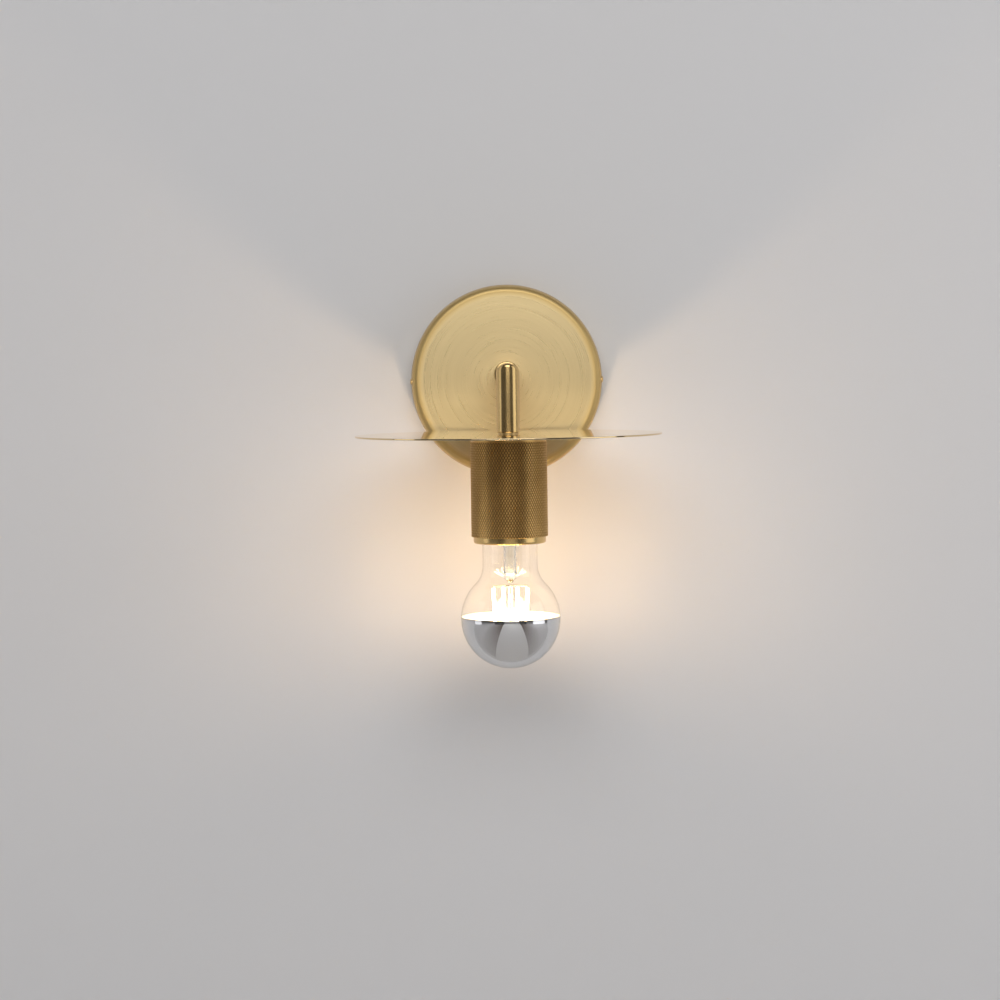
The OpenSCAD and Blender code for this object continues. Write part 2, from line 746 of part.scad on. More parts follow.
// Threaded brass shell of the cap, with a turned-in top
module bulb_cap() {
    color(brass) down_lamp() difference() {
        union() {
            translate([0, 0, cap_level + 1]) cylinder(d = cap_d, h = cap_l - 1);
            translate([0, 0, cap_level]) cylinder(d1 = cap_d - 2, d2 = cap_d, h = 1);
        }
        translate([0, 0, cap_level + cap_wall + 1]) cylinder(d = cap_d - 2 * cap_wall, h = cap_l);
        translate([0, 0, cap_level - cut]) cylinder(d = cap_d - 4, h = cap_l);
    }
}

// Black glass between the cap's shell and its contact
module bulb_cap_insulator() {
    color("#2a2622") down_lamp() difference() {
        union() {
            translate([0, 0, bulb_level + 1.7])
                cylinder(d1 = 13, d2 = cap_d - 2.4, h = cap_level - bulb_level - 1.72);
            translate([0, 0, cap_level - 0.02]) cylinder(d = cap_d - 4.2, h = 1.2);
        }
        translate([0, 0, bulb_level]) cylinder(d = 4, h = 12);
    }
}

// Soldered centre contact
module bulb_contact() {
    color(silver) down_lamp() {
        translate([0, 0, bulb_level]) cylinder(d1 = 7, d2 = 9.5, h = 0.6);
        translate([0, 0, bulb_level + 0.6]) cylinder(d = 9.5, h = 1);
    }
}

// Glass stem: a flare sealed into the neck, a tube and the rod that carries the filaments
module bulb_stem() {
    color(glass) down_lamp() {
        difference() {
            translate([0, 0, cap_foot - 6]) cylinder(r1 = seal_r - glass_t - 0.1, r2 = stem_r, h = 12);
            translate([0, 0, cap_foot - 6 - 0.01])
                cylinder(r1 = seal_r - glass_t - 1.1, r2 = stem_r - 1, h = 12.02);
        }
        translate([0, 0, cap_foot + 6]) tube(2 * stem_r, 2 * stem_r - 2, stem_foot - cap_foot - 8);
        translate([0, 0, stem_foot - 2]) cylinder(r1 = stem_r, r2 = 2, h = 2);
        translate([0, 0, stem_foot]) cylinder(d = rod_d, h = rod_foot - stem_foot);
    }
}

// One filament leans out from the rod
filament_lean = asin((filament_foot_r - filament_top_r) / filament_l);
module at_filaments() {
    for (i = [0 : filament_n - 1]) rotate([0, 0, (i + 0.5) * 360 / filament_n])
        translate([filament_top_r, 0, filament_level]) rotate([0, filament_lean, 0]) children();
}

module bulb_filaments() {
    color("#ffd98a") down_lamp() at_filaments() cylinder(d = filament_d, h = filament_l);
}

// Wires from the rod to both ends of the filaments
module bulb_support_wires() {
    foot = filament_level + filament_l * cos(filament_lean);
    color(steel) down_lamp() {
        for (i = [0 : filament_n - 1]) rotate([0, 0, (i + 0.5) * 360 / filament_n]) {
            translate([hub_d / 2 - 0.3, 0, filament_level - wire_d]) rotate([0, 90, 0])
                cylinder(d = wire_d, h = filament_top_r - hub_d / 2 + 0.8);
            translate([hub_d / 2 - 0.3, 0, foot + wire_d]) rotate([0, 90, 0])
                cylinder(d = wire_d, h = filament_foot_r - hub_d / 2 + 0.8);
        }
        for (level = [filament_level - wire_d, foot + wire_d])
            translate([0, 0, level - 0.5]) tube(hub_d, rod_d + 2 * seat_gap, 1);
    }
}

// Circuit board in the cap, with its parts
module bulb_driver_board() {
    level = cap_level + 3;
    color("seagreen") down_lamp() {
        translate([-board_w / 2, -0.5, level]) cube([board_w, 1, 9]);
        translate([-3, 0.5, level + 1]) cube([6, 2.5, 5]);
        translate([-4, -0.5, level + 4]) rotate([90, 0, 0]) cylinder(d = 5, h = 4);
        translate([1.5, -2.5, level + 1]) cube([4, 2, 6]);
    }
}

wall_bracket();
bracket_earth_screw();
canopy();
canopy_side_screws();
terminal_block();
terminal_inserts();
terminal_screws();
terminal_fixing_screw();
arm_collar();
arm_tube();
arm_root_bush();
arm_foot_bush();
arm_nipple();
arm_lock_washer();
arm_nut();
arm_wire_bush();
shade_disc();
holder_nipple();
holder_lock_washer();
holder_earth_tag();
holder_nut();
holder_cover();
holder_ring();
holder_insulator();
screw_shell();
holder_terminals();
holder_terminal_screws();
contact_anchor();
contact_tongue();
live_lead();
neutral_lead();
earth_lead();
bracket_earth_lead();
bulb_contact();
bulb_cap_insulator();
bulb_cap();
bulb_glass();
bulb_mirror();
bulb_stem();
bulb_filaments();
bulb_support_wires();
bulb_driver_board();
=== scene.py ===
import math

import bmesh
import bpy
import numpy as np
from mathutils import Matrix, Vector


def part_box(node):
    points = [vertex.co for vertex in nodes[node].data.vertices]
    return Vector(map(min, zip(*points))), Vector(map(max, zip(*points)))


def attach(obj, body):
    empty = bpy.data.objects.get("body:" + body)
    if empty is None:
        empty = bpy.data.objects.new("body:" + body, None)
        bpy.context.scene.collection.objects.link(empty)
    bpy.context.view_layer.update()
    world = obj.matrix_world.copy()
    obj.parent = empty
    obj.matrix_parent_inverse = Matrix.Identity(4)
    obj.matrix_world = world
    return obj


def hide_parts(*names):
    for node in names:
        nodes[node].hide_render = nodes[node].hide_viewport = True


# Brass wall light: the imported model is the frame, and the pieces below take the places of its
# visible nodes. Metres throughout; the wall is y = 0, the light stands out towards -Y, Z is up.

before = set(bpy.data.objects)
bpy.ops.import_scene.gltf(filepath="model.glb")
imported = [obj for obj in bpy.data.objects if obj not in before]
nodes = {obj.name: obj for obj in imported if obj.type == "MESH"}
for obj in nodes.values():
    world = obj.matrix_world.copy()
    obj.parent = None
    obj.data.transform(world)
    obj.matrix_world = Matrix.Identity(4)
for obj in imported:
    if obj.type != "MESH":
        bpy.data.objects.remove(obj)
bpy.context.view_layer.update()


# ---------- sizes, in millimetres until the last step of a shape ----------

MM = 0.001
FULL = 2 * math.pi

disc_low, disc_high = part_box("shade_disc")
LAMP_Y = (disc_low.y + disc_high.y) / 2 / MM
DISC_TOP = disc_high.z / MM
DISC_R = (disc_high.x - disc_low.x) / 2 / MM
DISC_T = (disc_high.z - disc_low.z) / MM

canopy_low, canopy_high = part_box("canopy")
CANOPY_DEPTH = -canopy_low.y / MM
CANOPY_RIM = canopy_high.x / MM
CANOPY_FLARE = 1.5
CANOPY_EDGE = 3.5
CANOPY_WALL = 1.0
HOLE_R = 5.1

tube_low, tube_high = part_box("arm_tube")
TUBE_R = (tube_high.x - tube_low.x) / 2 / MM
ARM_RISE = tube_high.z / MM - TUBE_R
ROOT_Y = tube_high.y / MM
TUBE_FOOT = tube_low.z / MM
TUBE_BORE = TUBE_R - 1.0

cover_low, cover_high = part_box("holder_cover")
COVER_R = (cover_high.x - cover_low.x) / 2 / MM
COVER_TOP = DISC_TOP - cover_high.z / MM
COVER_FOOT = DISC_TOP - cover_low.z / MM
BAND_H = 3.4
BAND_R = COVER_R - 0.5

ring_low, ring_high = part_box("holder_ring")
RING_R = (ring_high.x - ring_low.x) / 2 / MM
RING_FOOT = DISC_TOP - ring_low.z / MM
RING_HEAD = DISC_TOP - ring_high.z / MM
RING_BORE = 17.8

shell_low, shell_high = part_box("screw_shell")
SHELL_HEAD = DISC_TOP - shell_high.z / MM
SHELL_FOOT = DISC_TOP - shell_low.z / MM
SHELL_R = (shell_high.x - shell_low.x) / 2 / MM

cap_low, cap_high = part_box("bulb_cap")
CAP_HEAD = DISC_TOP - cap_high.z / MM
CAP_FOOT = DISC_TOP - cap_low.z / MM
CAP_R = (cap_high.x - cap_low.x) / 2 / MM
PITCH = 3.629

glass_low, glass_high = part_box("bulb_glass")
BULB_R = (glass_high.x - glass_low.x) / 2 / MM
BULB_FOOT = DISC_TOP - glass_low.z / MM
BULB_MID = BULB_FOOT - BULB_R
GLASS_HEAD = DISC_TOP - glass_high.z / MM
NECK_R = 16.6
BLEND_R = 16.0
GLASS_T = 0.25
SEAL_R = CAP_R - 0.8
MIRROR_RISE = 1.5
MIRROR_GAP = 0.03
MIRROR_T = 0.25

FILAMENTS = 8
FILAMENT_TOP_R = 11.2
FILAMENT_FOOT_R = 9.6
FILAMENT_L = 30.0
LEAN = math.asin((FILAMENT_FOOT_R - FILAMENT_TOP_R) / FILAMENT_L)
STEM_FOOT = BULB_MID - 22.5
FILAMENT_LEVEL = STEM_FOOT + 3.5
ROD_FOOT = FILAMENT_LEVEL + FILAMENT_L + 1.4
FILAMENT_SIDES = 14
WIRE_R = 0.2

LEAD_R = 1.1
CORE_R = 0.55
LEAD_SIDES = 12
BUNDLE = 1.8
NIPPLE_END = 10.1
POLE_OUT = 7.3
POLE_PITCH = 10
BLOCK_UP = -28.0
BLOCK_HALF = 7.5
BEND_R = 9.0
POST_X = 11.0
LEAD_END = 20.9


# ---------- shapes ----------


def soften(points, reach, steps=5, closed=True):
    """Rounds each corner of a polyline: a curve P(t) = (1-t)^2 a + 2t(1-t) p + t^2 b, where a and b
    lie reach away from the corner p on its two sides, with one point more on each side."""
    p = np.asarray(points, float)
    before = np.roll(p, 1, 0)
    after = np.roll(p, -1, 0)
    to_before = before - p
    to_after = after - p
    length_before = np.linalg.norm(to_before, axis=1, keepdims=True)
    length_after = np.linalg.norm(to_after, axis=1, keepdims=True)
    reach = np.broadcast_to(np.asarray(reach, float).reshape(-1, 1), length_before.shape)
    reach_before = np.minimum(reach, 0.4 * length_before)
    reach_after = np.minimum(reach, 0.4 * length_after)
    a = p + to_before / length_before * reach_before
    b = p + to_after / length_after * reach_after
    a_outer = p + to_before / length_before * np.minimum(1.15 * reach_before, 0.48 * length_before)
    b_outer = p + to_after / length_after * np.minimum(1.15 * reach_after, 0.48 * length_after)
    t = np.linspace(0, 1, steps)[None, :, None]
    curve = (1 - t) ** 2 * a[:, None] + 2 * t * (1 - t) * p[:, None] + t ** 2 * b[:, None]
    rows = np.concatenate([a_outer[:, None], curve, b_outer[:, None]], axis=1)
    if closed:
        return rows.reshape(-1, 2)
    return np.concatenate([p[:1], rows[1:-1].reshape(-1, 2), p[-1:]])


def arc(centre, radius, start, end, steps):
    """Points on a circle from one angle to another, in degrees, as (across, along) pairs."""
    angle = np.radians(np.linspace(start, end, steps))
    return np.stack([centre[0] + radius * np.cos(angle), centre[1] + radius * np.sin(angle)], 1)


def grid_faces(rows, columns, rows_close, split=None):
    """Faces of a grid that closes round its columns, and round its rows if asked. Where split says
    1 or 2 a square becomes two triangles, along one diagonal or the other."""
    last = rows if rows_close else rows - 1
    i, j = np.meshgrid(np.arange(last), np.arange(columns), indexing="ij")
    a = i * columns + j
    b = i * columns + (j + 1) % columns
    c = (i + 1) % rows * columns + (j + 1) % columns
    d = (i + 1) % rows * columns + j
    if split is None:
        return np.stack([a, b, c, d], -1).reshape(-1, 4).tolist()
    faces = np.stack([a, b, c, d], -1)[split == 0].tolist()
    for which, corners in ((1, ((a, b, c), (a, c, d))), (2, ((a, b, d), (b, c, d)))):
        for three in corners:
            faces += np.stack(three, -1)[split == which].tolist()
    return faces


def make_piece(name, points, faces, body, finish, slot, stands_for=(), crease=32, values=None):
    """Mesh object in metres from points in millimetres. Doubles are merged, so that poles and seams
    close, and its normals are turned outwards. values are numbers that each point carries."""
    mesh = bpy.data.meshes.new(name)
    mesh.from_pydata((np.asarray(points) * MM).tolist(), [], faces)
    for key, numbers in (values or {}).items():
        layer = mesh.attributes.new(key, "FLOAT", "POINT")
        layer.data.foreach_set("value", np.asarray(numbers, np.float32).ravel())
    shape = bmesh.new()
    shape.from_mesh(mesh)
    bmesh.ops.remove_doubles(shape, verts=shape.verts, dist=1e-7)
    bmesh.ops.recalc_face_normals(shape, faces=shape.faces)
    shape.to_mesh(mesh)
    shape.free()
    mesh.shade_smooth()
    mesh.set_sharp_from_angle(angle=math.radians(crease))
    mesh.materials.append(finish)
    piece = bpy.data.objects.new(name, mesh)
    bpy.context.scene.collection.objects.link(piece)
    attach(piece, body)
    if stands_for:
        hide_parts(*stands_for)
    return piece


def turn_lamp(profile, columns):
    """A profile of (radius, depth below the disc's top) turned about the lamp's axis."""
    angle = np.arange(columns) * FULL / columns
    r, down = np.asarray(profile, float).T
    x = r[:, None] * np.cos(angle)
    y = LAMP_Y + r[:, None] * np.sin(angle)
    z = np.broadcast_to((DISC_TOP - down)[:, None], x.shape)
    return np.stack([x, y, z], -1)


def turn_wall(profile, columns, shift=None):
    """A profile of (radius, distance from the wall) turned about an axis square to the wall. shift
    gives how far above the canopy's middle each row's circle has its centre."""
    angle = np.arange(columns) * FULL / columns
    r, out = np.asarray(profile, float).T
    up = np.zeros_like(r) if shift is None else np.broadcast_to(np.asarray(shift, float), r.shape)
    x = r[:, None] * np.cos(angle)
    z = up[:, None] + r[:, None] * np.sin(angle)
    y = np.broadcast_to(-out[:, None], x.shape)
    return np.stack([x, y, z], -1)


def turned_piece(name, grid, closed, **facts):
    """Piece from a grid of points whose columns go once round an axis."""
    rows, columns = grid.shape[:2]
    return make_piece(name, grid.reshape(-1, 3), grid_faces(rows, columns, closed), **facts)


def tube_along(path, radius, sides, side):
    """A circle carried along a path: the ring at each point stands square to the path there, and
    side is a direction that the path never takes. radius may change from point to point."""
    p = np.asarray(path, float)
    ahead = np.gradient(p, axis=0)
    ahead /= np.linalg.norm(ahead, axis=1, keepdims=True)
    u = np.cross(ahead, side)
    u /= np.linalg.norm(u, axis=1, keepdims=True)
    v = np.cross(ahead, u)
    angle = (np.arange(sides) * FULL / sides)[None, :, None]
    r = np.broadcast_to(np.asarray(radius, float), len(p))[:, None, None]
    rings = p[:, None] + r * (np.cos(angle) * u[:, None] + np.sin(angle) * v[:, None])
    closed_ends = np.concatenate([
        np.broadcast_to(p[0], (1, sides, 3)), rings, np.broadcast_to(p[-1], (1, sides, 3))])
    return closed_ends


def smooth_path(points, steps):
    """Catmull-Rom curve through the points, with this many steps to a stretch."""
    p = np.asarray(points, float)
    ends = np.concatenate([p[:1], p, p[-1:]])
    a, b, c, d = ends[:-3, None], ends[1:-2, None], ends[2:-1, None], ends[3:, None]
    t = (np.arange(steps) / steps)[None, :, None]
    curve = 0.5 * (2 * b + (c - a) * t + (2 * a - 5 * b + 4 * c - d) * t ** 2
                   + (3 * b - a - 3 * c + d) * t ** 3)
    return np.concatenate([curve.reshape(-1, 3), p[-1:]])


def join_grids(grids, closed=False):
    """Points and faces of several grids of the same kind, one after another."""
    points = []
    faces = []
    count = 0
    for grid in grids:
        rows, columns = grid.shape[:2]
        points.append(grid.reshape(-1, 3))
        faces += (np.asarray(grid_faces(rows, columns, closed)) + count).tolist()
        count += rows * columns
    return np.concatenate(points), faces


# ---------- finishes ----------


class Wire:
    """A shader socket that takes part in sums: each operator adds the Math node it stands for."""

    def __init__(self, finish, socket):
        self.finish = finish
        self.socket = socket

    def maths(self, operation, *others):
        inputs = dict(enumerate((self,) + others))
        return self.finish.put("ShaderNodeMath", inputs, operation=operation)

    def __add__(self, other):
        return self.maths("ADD", other)

    def __radd__(self, other):
        return self.maths("ADD", other)

    def __sub__(self, other):
        return self.maths("SUBTRACT", other)

    def __rsub__(self, other):
        return (self * -1) + other

    def __mul__(self, other):
        return self.maths("MULTIPLY", other)

    def __rmul__(self, other):
        return self.maths("MULTIPLY", other)

    def __truediv__(self, other):
        return self.maths("DIVIDE", other)

    def __pow__(self, other):
        return self.maths("POWER", other)

    def __gt__(self, other):
        return self.maths("GREATER_THAN", other)

    def clamp(self):
        return self.finish.put("ShaderNodeClamp", {0: self})


class Finish:
    """A node material. put() adds any node; the other calls are the few that come back often."""

    def __init__(self, name):
        self.material = bpy.data.materials.new(name)
        self.material.use_nodes = True
        self.tree = self.material.node_tree
        self.tree.nodes.clear()

    def put(self, kind, inputs=(), out=0, stops=None, **settings):
        node = self.tree.nodes.new(kind)
        for key, value in settings.items():
            setattr(node, key, value)
        if stops:
            ramp = node.color_ramp
            while len(ramp.elements) < len(stops):
                ramp.elements.new(0.5)
            for element, (place, colour) in zip(ramp.elements, stops):
                element.position = place
                element.color = (*colour, 1)
        for key, value in dict(inputs).items():
            if isinstance(value, Wire):
                self.tree.links.new(value.socket, node.inputs[key])
            else:
                node.inputs[key].default_value = value
        return Wire(self, node.outputs[out])

    def place(self):
        """Object coordinates as three wires, in metres."""
        where = self.put("ShaderNodeTexCoord", out="Object")
        return [self.put("ShaderNodeSeparateXYZ", {0: where}, out=k) for k in range(3)]

    def vector(self, x, y, z):
        return self.put("ShaderNodeCombineXYZ", {0: x, 1: y, 2: z})

    def noise(self, where, scale, detail=2.0, rough=0.5):
        inputs = {"Vector": where, "Scale": scale, "Detail": detail, "Roughness": rough}
        return self.put("ShaderNodeTexNoise", inputs, out=0)

    def attribute(self, name):
        return self.put("ShaderNodeAttribute", out="Fac", attribute_name=name)

    def mix(self, share, one, two):
        """Colour between one and two."""
        colours = [(*c, 1) if isinstance(c, tuple) else c for c in (one, two)]
        inputs = {0: share, 6: colours[0], 7: colours[1]}
        return self.put("ShaderNodeMix", inputs, out=2, data_type="RGBA")

    def bump(self, height, distance, strength=1.0):
        return self.put("ShaderNodeBump", {"Height": height, "Distance": distance, "Strength": strength})

    def show(self, shader):
        output = self.tree.nodes.new("ShaderNodeOutputMaterial")
        self.tree.links.new(shader.socket, output.inputs["Surface"])
        return self.material

    def principled(self, **inputs):
        named = {key.replace("_", " "): value for key, value in inputs.items()}
        for key in ("Base Color", "Emission Color"):
            if isinstance(named.get(key), tuple):
                named[key] = (*named[key], 1)
        return self.put("ShaderNodeBsdfPrincipled", named)


def lathe_lines(f, across, around_x, around_y, pitch, streak=1.6):
    """Fine lines round an axis: noise that changes fast with across and slowly round the axis."""
    where = f.vector(across / pitch, around_x * streak, around_y * streak)
    return f.noise(where, 1.0, 3.0, 0.6)


def spun_brass():
    """Satin brass, brushed in circles about the canopy's axis; round its edge it is rougher and painted a
    darker brass, a painted shade.
    """
    f = Finish("spun_brass")
    x, y, z = f.place()
    radius = (x * x + z * z + 1e-9) ** 0.5
    lines = lathe_lines(f, radius + y, x / radius, z / radius, 0.0006, 0.7)
    coarse = lathe_lines(f, radius + y, x / radius, z / radius, 0.0021, 0.5)
    cloud = f.noise(f.vector(x, y, z), 22.0)
    tint = f.mix(lines * 0.6 + coarse * 0.2 + cloud * 0.2, (0.72, 0.55, 0.285), (0.87, 0.69, 0.375))
    edge_starts = 0.0535
    edge = ((radius - edge_starts) / 0.003).clamp()
    # painted shade: the rounded edge gets a darker brass colour than the face
    painted_edge_shade = f.mix(lines, (0.60, 0.42, 0.16), (0.74, 0.54, 0.24))
    return f.show(f.principled(
        Base_Color=f.mix(edge, tint, painted_edge_shade),
        Metallic=1.0,
        Roughness=0.29 + (lines - 0.5) * 0.12 + edge * 0.22,
        Normal=f.bump(lines, 0.000004, 0.5),
    ))


def polished_brass(name, rough=0.10, tint=((0.60, 0.41, 0.17), (0.74, 0.53, 0.25))):
    """Bright brass with faint rubbing marks and a little tarnish."""
    f = Finish(name)
    x, y, z = f.place()
    marks = f.noise(f.vector(x * 1900, y * 240, z * 240), 1.0, 3.0, 0.6)
    cloud = f.noise(f.vector(x, y, z), 60.0, 3.0)
    return f.show(f.principled(
        Base_Color=f.mix(cloud, *tint),
        Metallic=1.0,
        Roughness=rough + marks * 0.06 + cloud * 0.04,
        Normal=f.bump(marks, 0.000004, 0.4),
    ))


def turned_brass(name, rough, pitch, tint, depth):
    """Brass turned on a lathe about the lamp's axis, with its fine tool lines."""
    f = Finish(name)
    x, y, z = f.place()
    y = y - LAMP_Y * MM
    radius = (x * x + y * y + 1e-9) ** 0.5
    lines = lathe_lines(f, radius + z, x / radius, y / radius, pitch)
    cloud = f.noise(f.vector(x, y, z), 35.0)
    return f.show(f.principled(
        Base_Color=f.mix(lines * 0.4 + cloud * 0.6, *tint),
        Metallic=1.0,
        Roughness=(lines * 0.3 + cloud * 0.2 + 0.75) * rough,
        Normal=f.bump(lines, depth, 0.5),
    ))


def knurled_brass():
    """Knurled brass: the grooves are painted near black-brown as painted shade, with a little random
    mottle, and are rougher and less metallic; the diamond tops keep the brass colour.
    """
    f = Finish("knurled_brass")
    x, y, z = f.place()
    deep = f.attribute("groove")
    cloud = f.noise(f.vector(x, y, z), 90.0, 3.0)
    grain = f.noise(f.vector(x, y, z), 2600.0, 2.0)
    # painted shade in the grooves: groove depth darkens the colour, mixed with random mottle
    groove_shade_and_mottle = (deep * 0.9 + (cloud - 0.5) * 0.35).clamp()
    return f.show(f.principled(
        Base_Color=f.mix(groove_shade_and_mottle, (0.66, 0.415, 0.15), (0.12, 0.06, 0.015)),
        Metallic=1.0 - groove_shade_and_mottle * 0.35,
        Roughness=0.30 + groove_shade_and_mottle * 0.25 + grain * 0.08,
        Normal=f.bump(grain, 0.00001, 0.4),
    ))


def cast_metal(name, light, dark, rough, scale, metallic=1.0):
    """Plain metal with a mottled surface: plating, tarnish or solder."""
    f = Finish(name)
    x, y, z = f.place()
    where = f.vector(x, y, z)
    cloud = f.noise(where, scale, 4.0, 0.65)
    grain = f.noise(where, scale * 14, 2.0)
    return f.show(f.principled(
        Base_Color=f.mix((cloud * 1.8 - 0.4).clamp(), dark, light),
        Metallic=metallic,
        Roughness=rough + cloud * 0.14 + grain * 0.06,
        Normal=f.bump(cloud + grain * 0.4, 0.00002, 0.35),
    ))


def moulded(name, light, dark, rough, scale, coat=0.0):
    """Moulded plastic or glazed ceramic, with a faint mottle and an uneven skin."""
    f = Finish(name)
    x, y, z = f.place()
    where = f.vector(x, y, z)
    cloud = f.noise(where, scale, 4.0)
    grain = f.noise(where, scale * 25, 2.0)
    return f.show(f.principled(
        Base_Color=f.mix(cloud, dark, light),
        Roughness=rough + grain * 0.12,
        Normal=f.bump(cloud + grain * 0.3, 0.00003, 0.3),
        Coat_Weight=coat,
        Coat_Roughness=0.06,
    ))


def sheath(name, colour, stripe=None):
    """PVC insulation with bare copper at both ends; the earth lead has a stripe that winds round."""
    f = Finish(name)
    x, y, z = f.place()
    bare = f.attribute("bare") > 0.5
    along = f.attribute("along")
    around = f.attribute("around")
    skin = f.noise(f.vector(x, y, z), 900.0, 3.0)
    base = f.mix(skin, tuple(c * 0.8 for c in colour), colour)
    if stripe:
        wave = (around * FULL + along * 140).maths("SINE")
        base = f.mix(wave > 0.25, base, stripe)
    strands = (around * FULL * 5 + along * 2600).maths("SINE")
    copper = f.mix(strands * 0.5 + 0.5, (0.50, 0.22, 0.12), (0.86, 0.46, 0.30))
    return f.show(f.principled(
        Base_Color=f.mix(bare, base, copper),
        Metallic=bare,
        Roughness=0.42 - bare * 0.14 + skin * 0.08,
        Normal=f.bump(skin * (1 - bare) * 0.2 + strands * bare, 0.00004, 0.5),
    ))


def clear_glass():
    """Thin clear glass: light goes straight through, and the surface mirrors a little at its edge."""
    f = Finish("bulb_glass")
    x, y, z = f.place()
    draw = f.noise(f.vector(x * 40, y * 40, z * 9), 1.0, 2.0)
    skew = f.bump(draw, 0.0006, 0.25)
    facing = f.put("ShaderNodeLayerWeight", {"Blend": 0.5, "Normal": skew}, out="Facing")
    clear = f.put("ShaderNodeBsdfTransparent", {"Color": (0.995, 0.996, 0.995, 1)})
    thick = f.put("ShaderNodeBsdfTransparent", {"Color": (0.80, 0.80, 0.79, 1)})
    through = f.put("ShaderNodeMixShader", {0: facing ** 8, 1: clear, 2: thick})
    gloss = f.put("ShaderNodeBsdfGlossy", {"Color": (1, 1, 1, 1), "Roughness": 0.02, "Normal": skew})
    both = f.put("ShaderNodeMixShader", {0: (facing ** 5) * 0.5 + 0.03, 1: through, 2: gloss})
    return f.show(both)


def stem_glass():
    """Drawn lead glass of the stem, slightly uneven along its length."""
    f = Finish("stem_glass")
    x, y, z = f.place()
    wave = f.noise(f.vector(x * 300, y * 300, z * 700), 1.0, 2.0)
    return f.show(f.principled(
        Base_Color=f.mix(wave, (0.93, 0.95, 0.93), (0.99, 0.99, 0.98)),
        Roughness=0.02 + wave * 0.03,
        IOR=1.5,
        Transmission_Weight=1.0,
        Normal=f.bump(wave, 0.0001, 0.5),
    ))


def silvered():
    """Bright evaporated aluminium on the inside of the crown, a little cloudy at its edge."""
    f = Finish("silvered_crown")
    x, y, z = f.place()
    cloud = f.noise(f.vector(x, y, z), 45.0, 3.0)
    edge = ((z - (DISC_TOP - BULB_MID + MIRROR_RISE) * MM) / -0.0016).clamp()
    y_lamp = y - LAMP_Y * MM
    z_lamp = z - (DISC_TOP - BULB_MID) * MM
    deep = (x * x + y_lamp * y_lamp + z_lamp * z_lamp) ** 0.5
    inside = (BULB_R - GLASS_T - MIRROR_GAP - MIRROR_T / 2) * MM - deep > 0
    return f.show(f.principled(
        Base_Color=f.mix(edge, (0.72, 0.70, 0.67), (0.86, 0.86, 0.87)),
        Metallic=1.0,
        Roughness=0.03 + cloud * 0.03 + (1 - edge) * 0.08 + inside * 0.4,
        Normal=f.bump(cloud, 0.00008, 0.15),
    ))


def glowing():
    """Yellow phosphor over the diodes, lit to a warm white, with its two dark ends."""
    f = Finish("lit_filament")
    x, y, z = f.place()
    along = f.attribute("along")
    ends = (((along - 0.5) * (along - 0.5)) > 0.216)
    dots = (along * 180).maths("SINE")
    return f.show(f.principled(
        Base_Color=f.mix(ends, (0.95, 0.72, 0.30), (0.35, 0.32, 0.28)),
        Roughness=0.5 + dots * 0.05,
        Emission_Color=f.mix(ends, (1.0, 0.74, 0.42), (0.0, 0.0, 0.0)),
        Emission_Strength=34.0,
    ))


def board_green():
    """Green solder resist over copper tracks."""
    f = Finish("circuit_board")
    x, y, z = f.place()
    tracks = (((x * 2400).maths("SINE") + (z * 1900).maths("SINE")) > 0.9)
    cloud = f.noise(f.vector(x, y, z), 300.0)
    resist = f.mix(cloud, (0.01, 0.12, 0.05), (0.02, 0.17, 0.07))
    return f.show(f.principled(
        Base_Color=f.mix(tracks, resist, (0.08, 0.30, 0.12)),
        Roughness=0.3 + cloud * 0.1,
        Normal=f.bump(tracks * 1.0, 0.00003, 0.5),
    ))


brushed = spun_brass()
bright = polished_brass("polished_brass")
tube_brass = polished_brass("tube_brass", 0.16, ((0.68, 0.46, 0.18), (0.78, 0.55, 0.25)))
disc_brass = turned_brass("disc_brass", 0.045, 0.0006, ((0.78, 0.61, 0.35), (0.86, 0.69, 0.43)), 0.0000005)
ring_brass = turned_brass("ring_brass", 0.24, 0.00025, ((0.74, 0.50, 0.19), (0.86, 0.60, 0.26)), 0.000005)
knurled = knurled_brass()
raw_brass = cast_metal("raw_brass", (0.78, 0.58, 0.28), (0.50, 0.33, 0.14), 0.28, 260.0)
zinc = cast_metal("zinc_steel", (0.74, 0.76, 0.78), (0.52, 0.52, 0.48), 0.30, 120.0)
bronze = cast_metal("spring_bronze", (0.80, 0.50, 0.30), (0.55, 0.31, 0.17), 0.26, 300.0)
nickel = cast_metal("cap_metal", (0.80, 0.77, 0.71), (0.60, 0.56, 0.50), 0.24, 200.0)
solder = cast_metal("solder", (0.72, 0.72, 0.73), (0.48, 0.48, 0.49), 0.32, 500.0)
wire_steel = cast_metal("support_wire", (0.66, 0.62, 0.56), (0.42, 0.38, 0.34), 0.35, 700.0)
nylon = moulded("nylon", (0.86, 0.86, 0.82), (0.76, 0.76, 0.71), 0.38, 90.0)
porcelain = moulded("porcelain", (0.90, 0.87, 0.80), (0.80, 0.76, 0.68), 0.28, 70.0, 0.6)
black_glass = moulded("cap_insulator", (0.030, 0.026, 0.030), (0.012, 0.010, 0.012), 0.12, 160.0, 0.4)
glass = clear_glass()
stem = stem_glass()
mirror = silvered()
lit = glowing()
board = board_green()
live_pvc = sheath("live_sheath", (0.20, 0.075, 0.03))
neutral_pvc = sheath("neutral_sheath", (0.03, 0.13, 0.48))
earth_pvc = sheath("earth_sheath", (0.05, 0.33, 0.06), (0.86, 0.76, 0.05))


# ---------- canopy and arm ----------


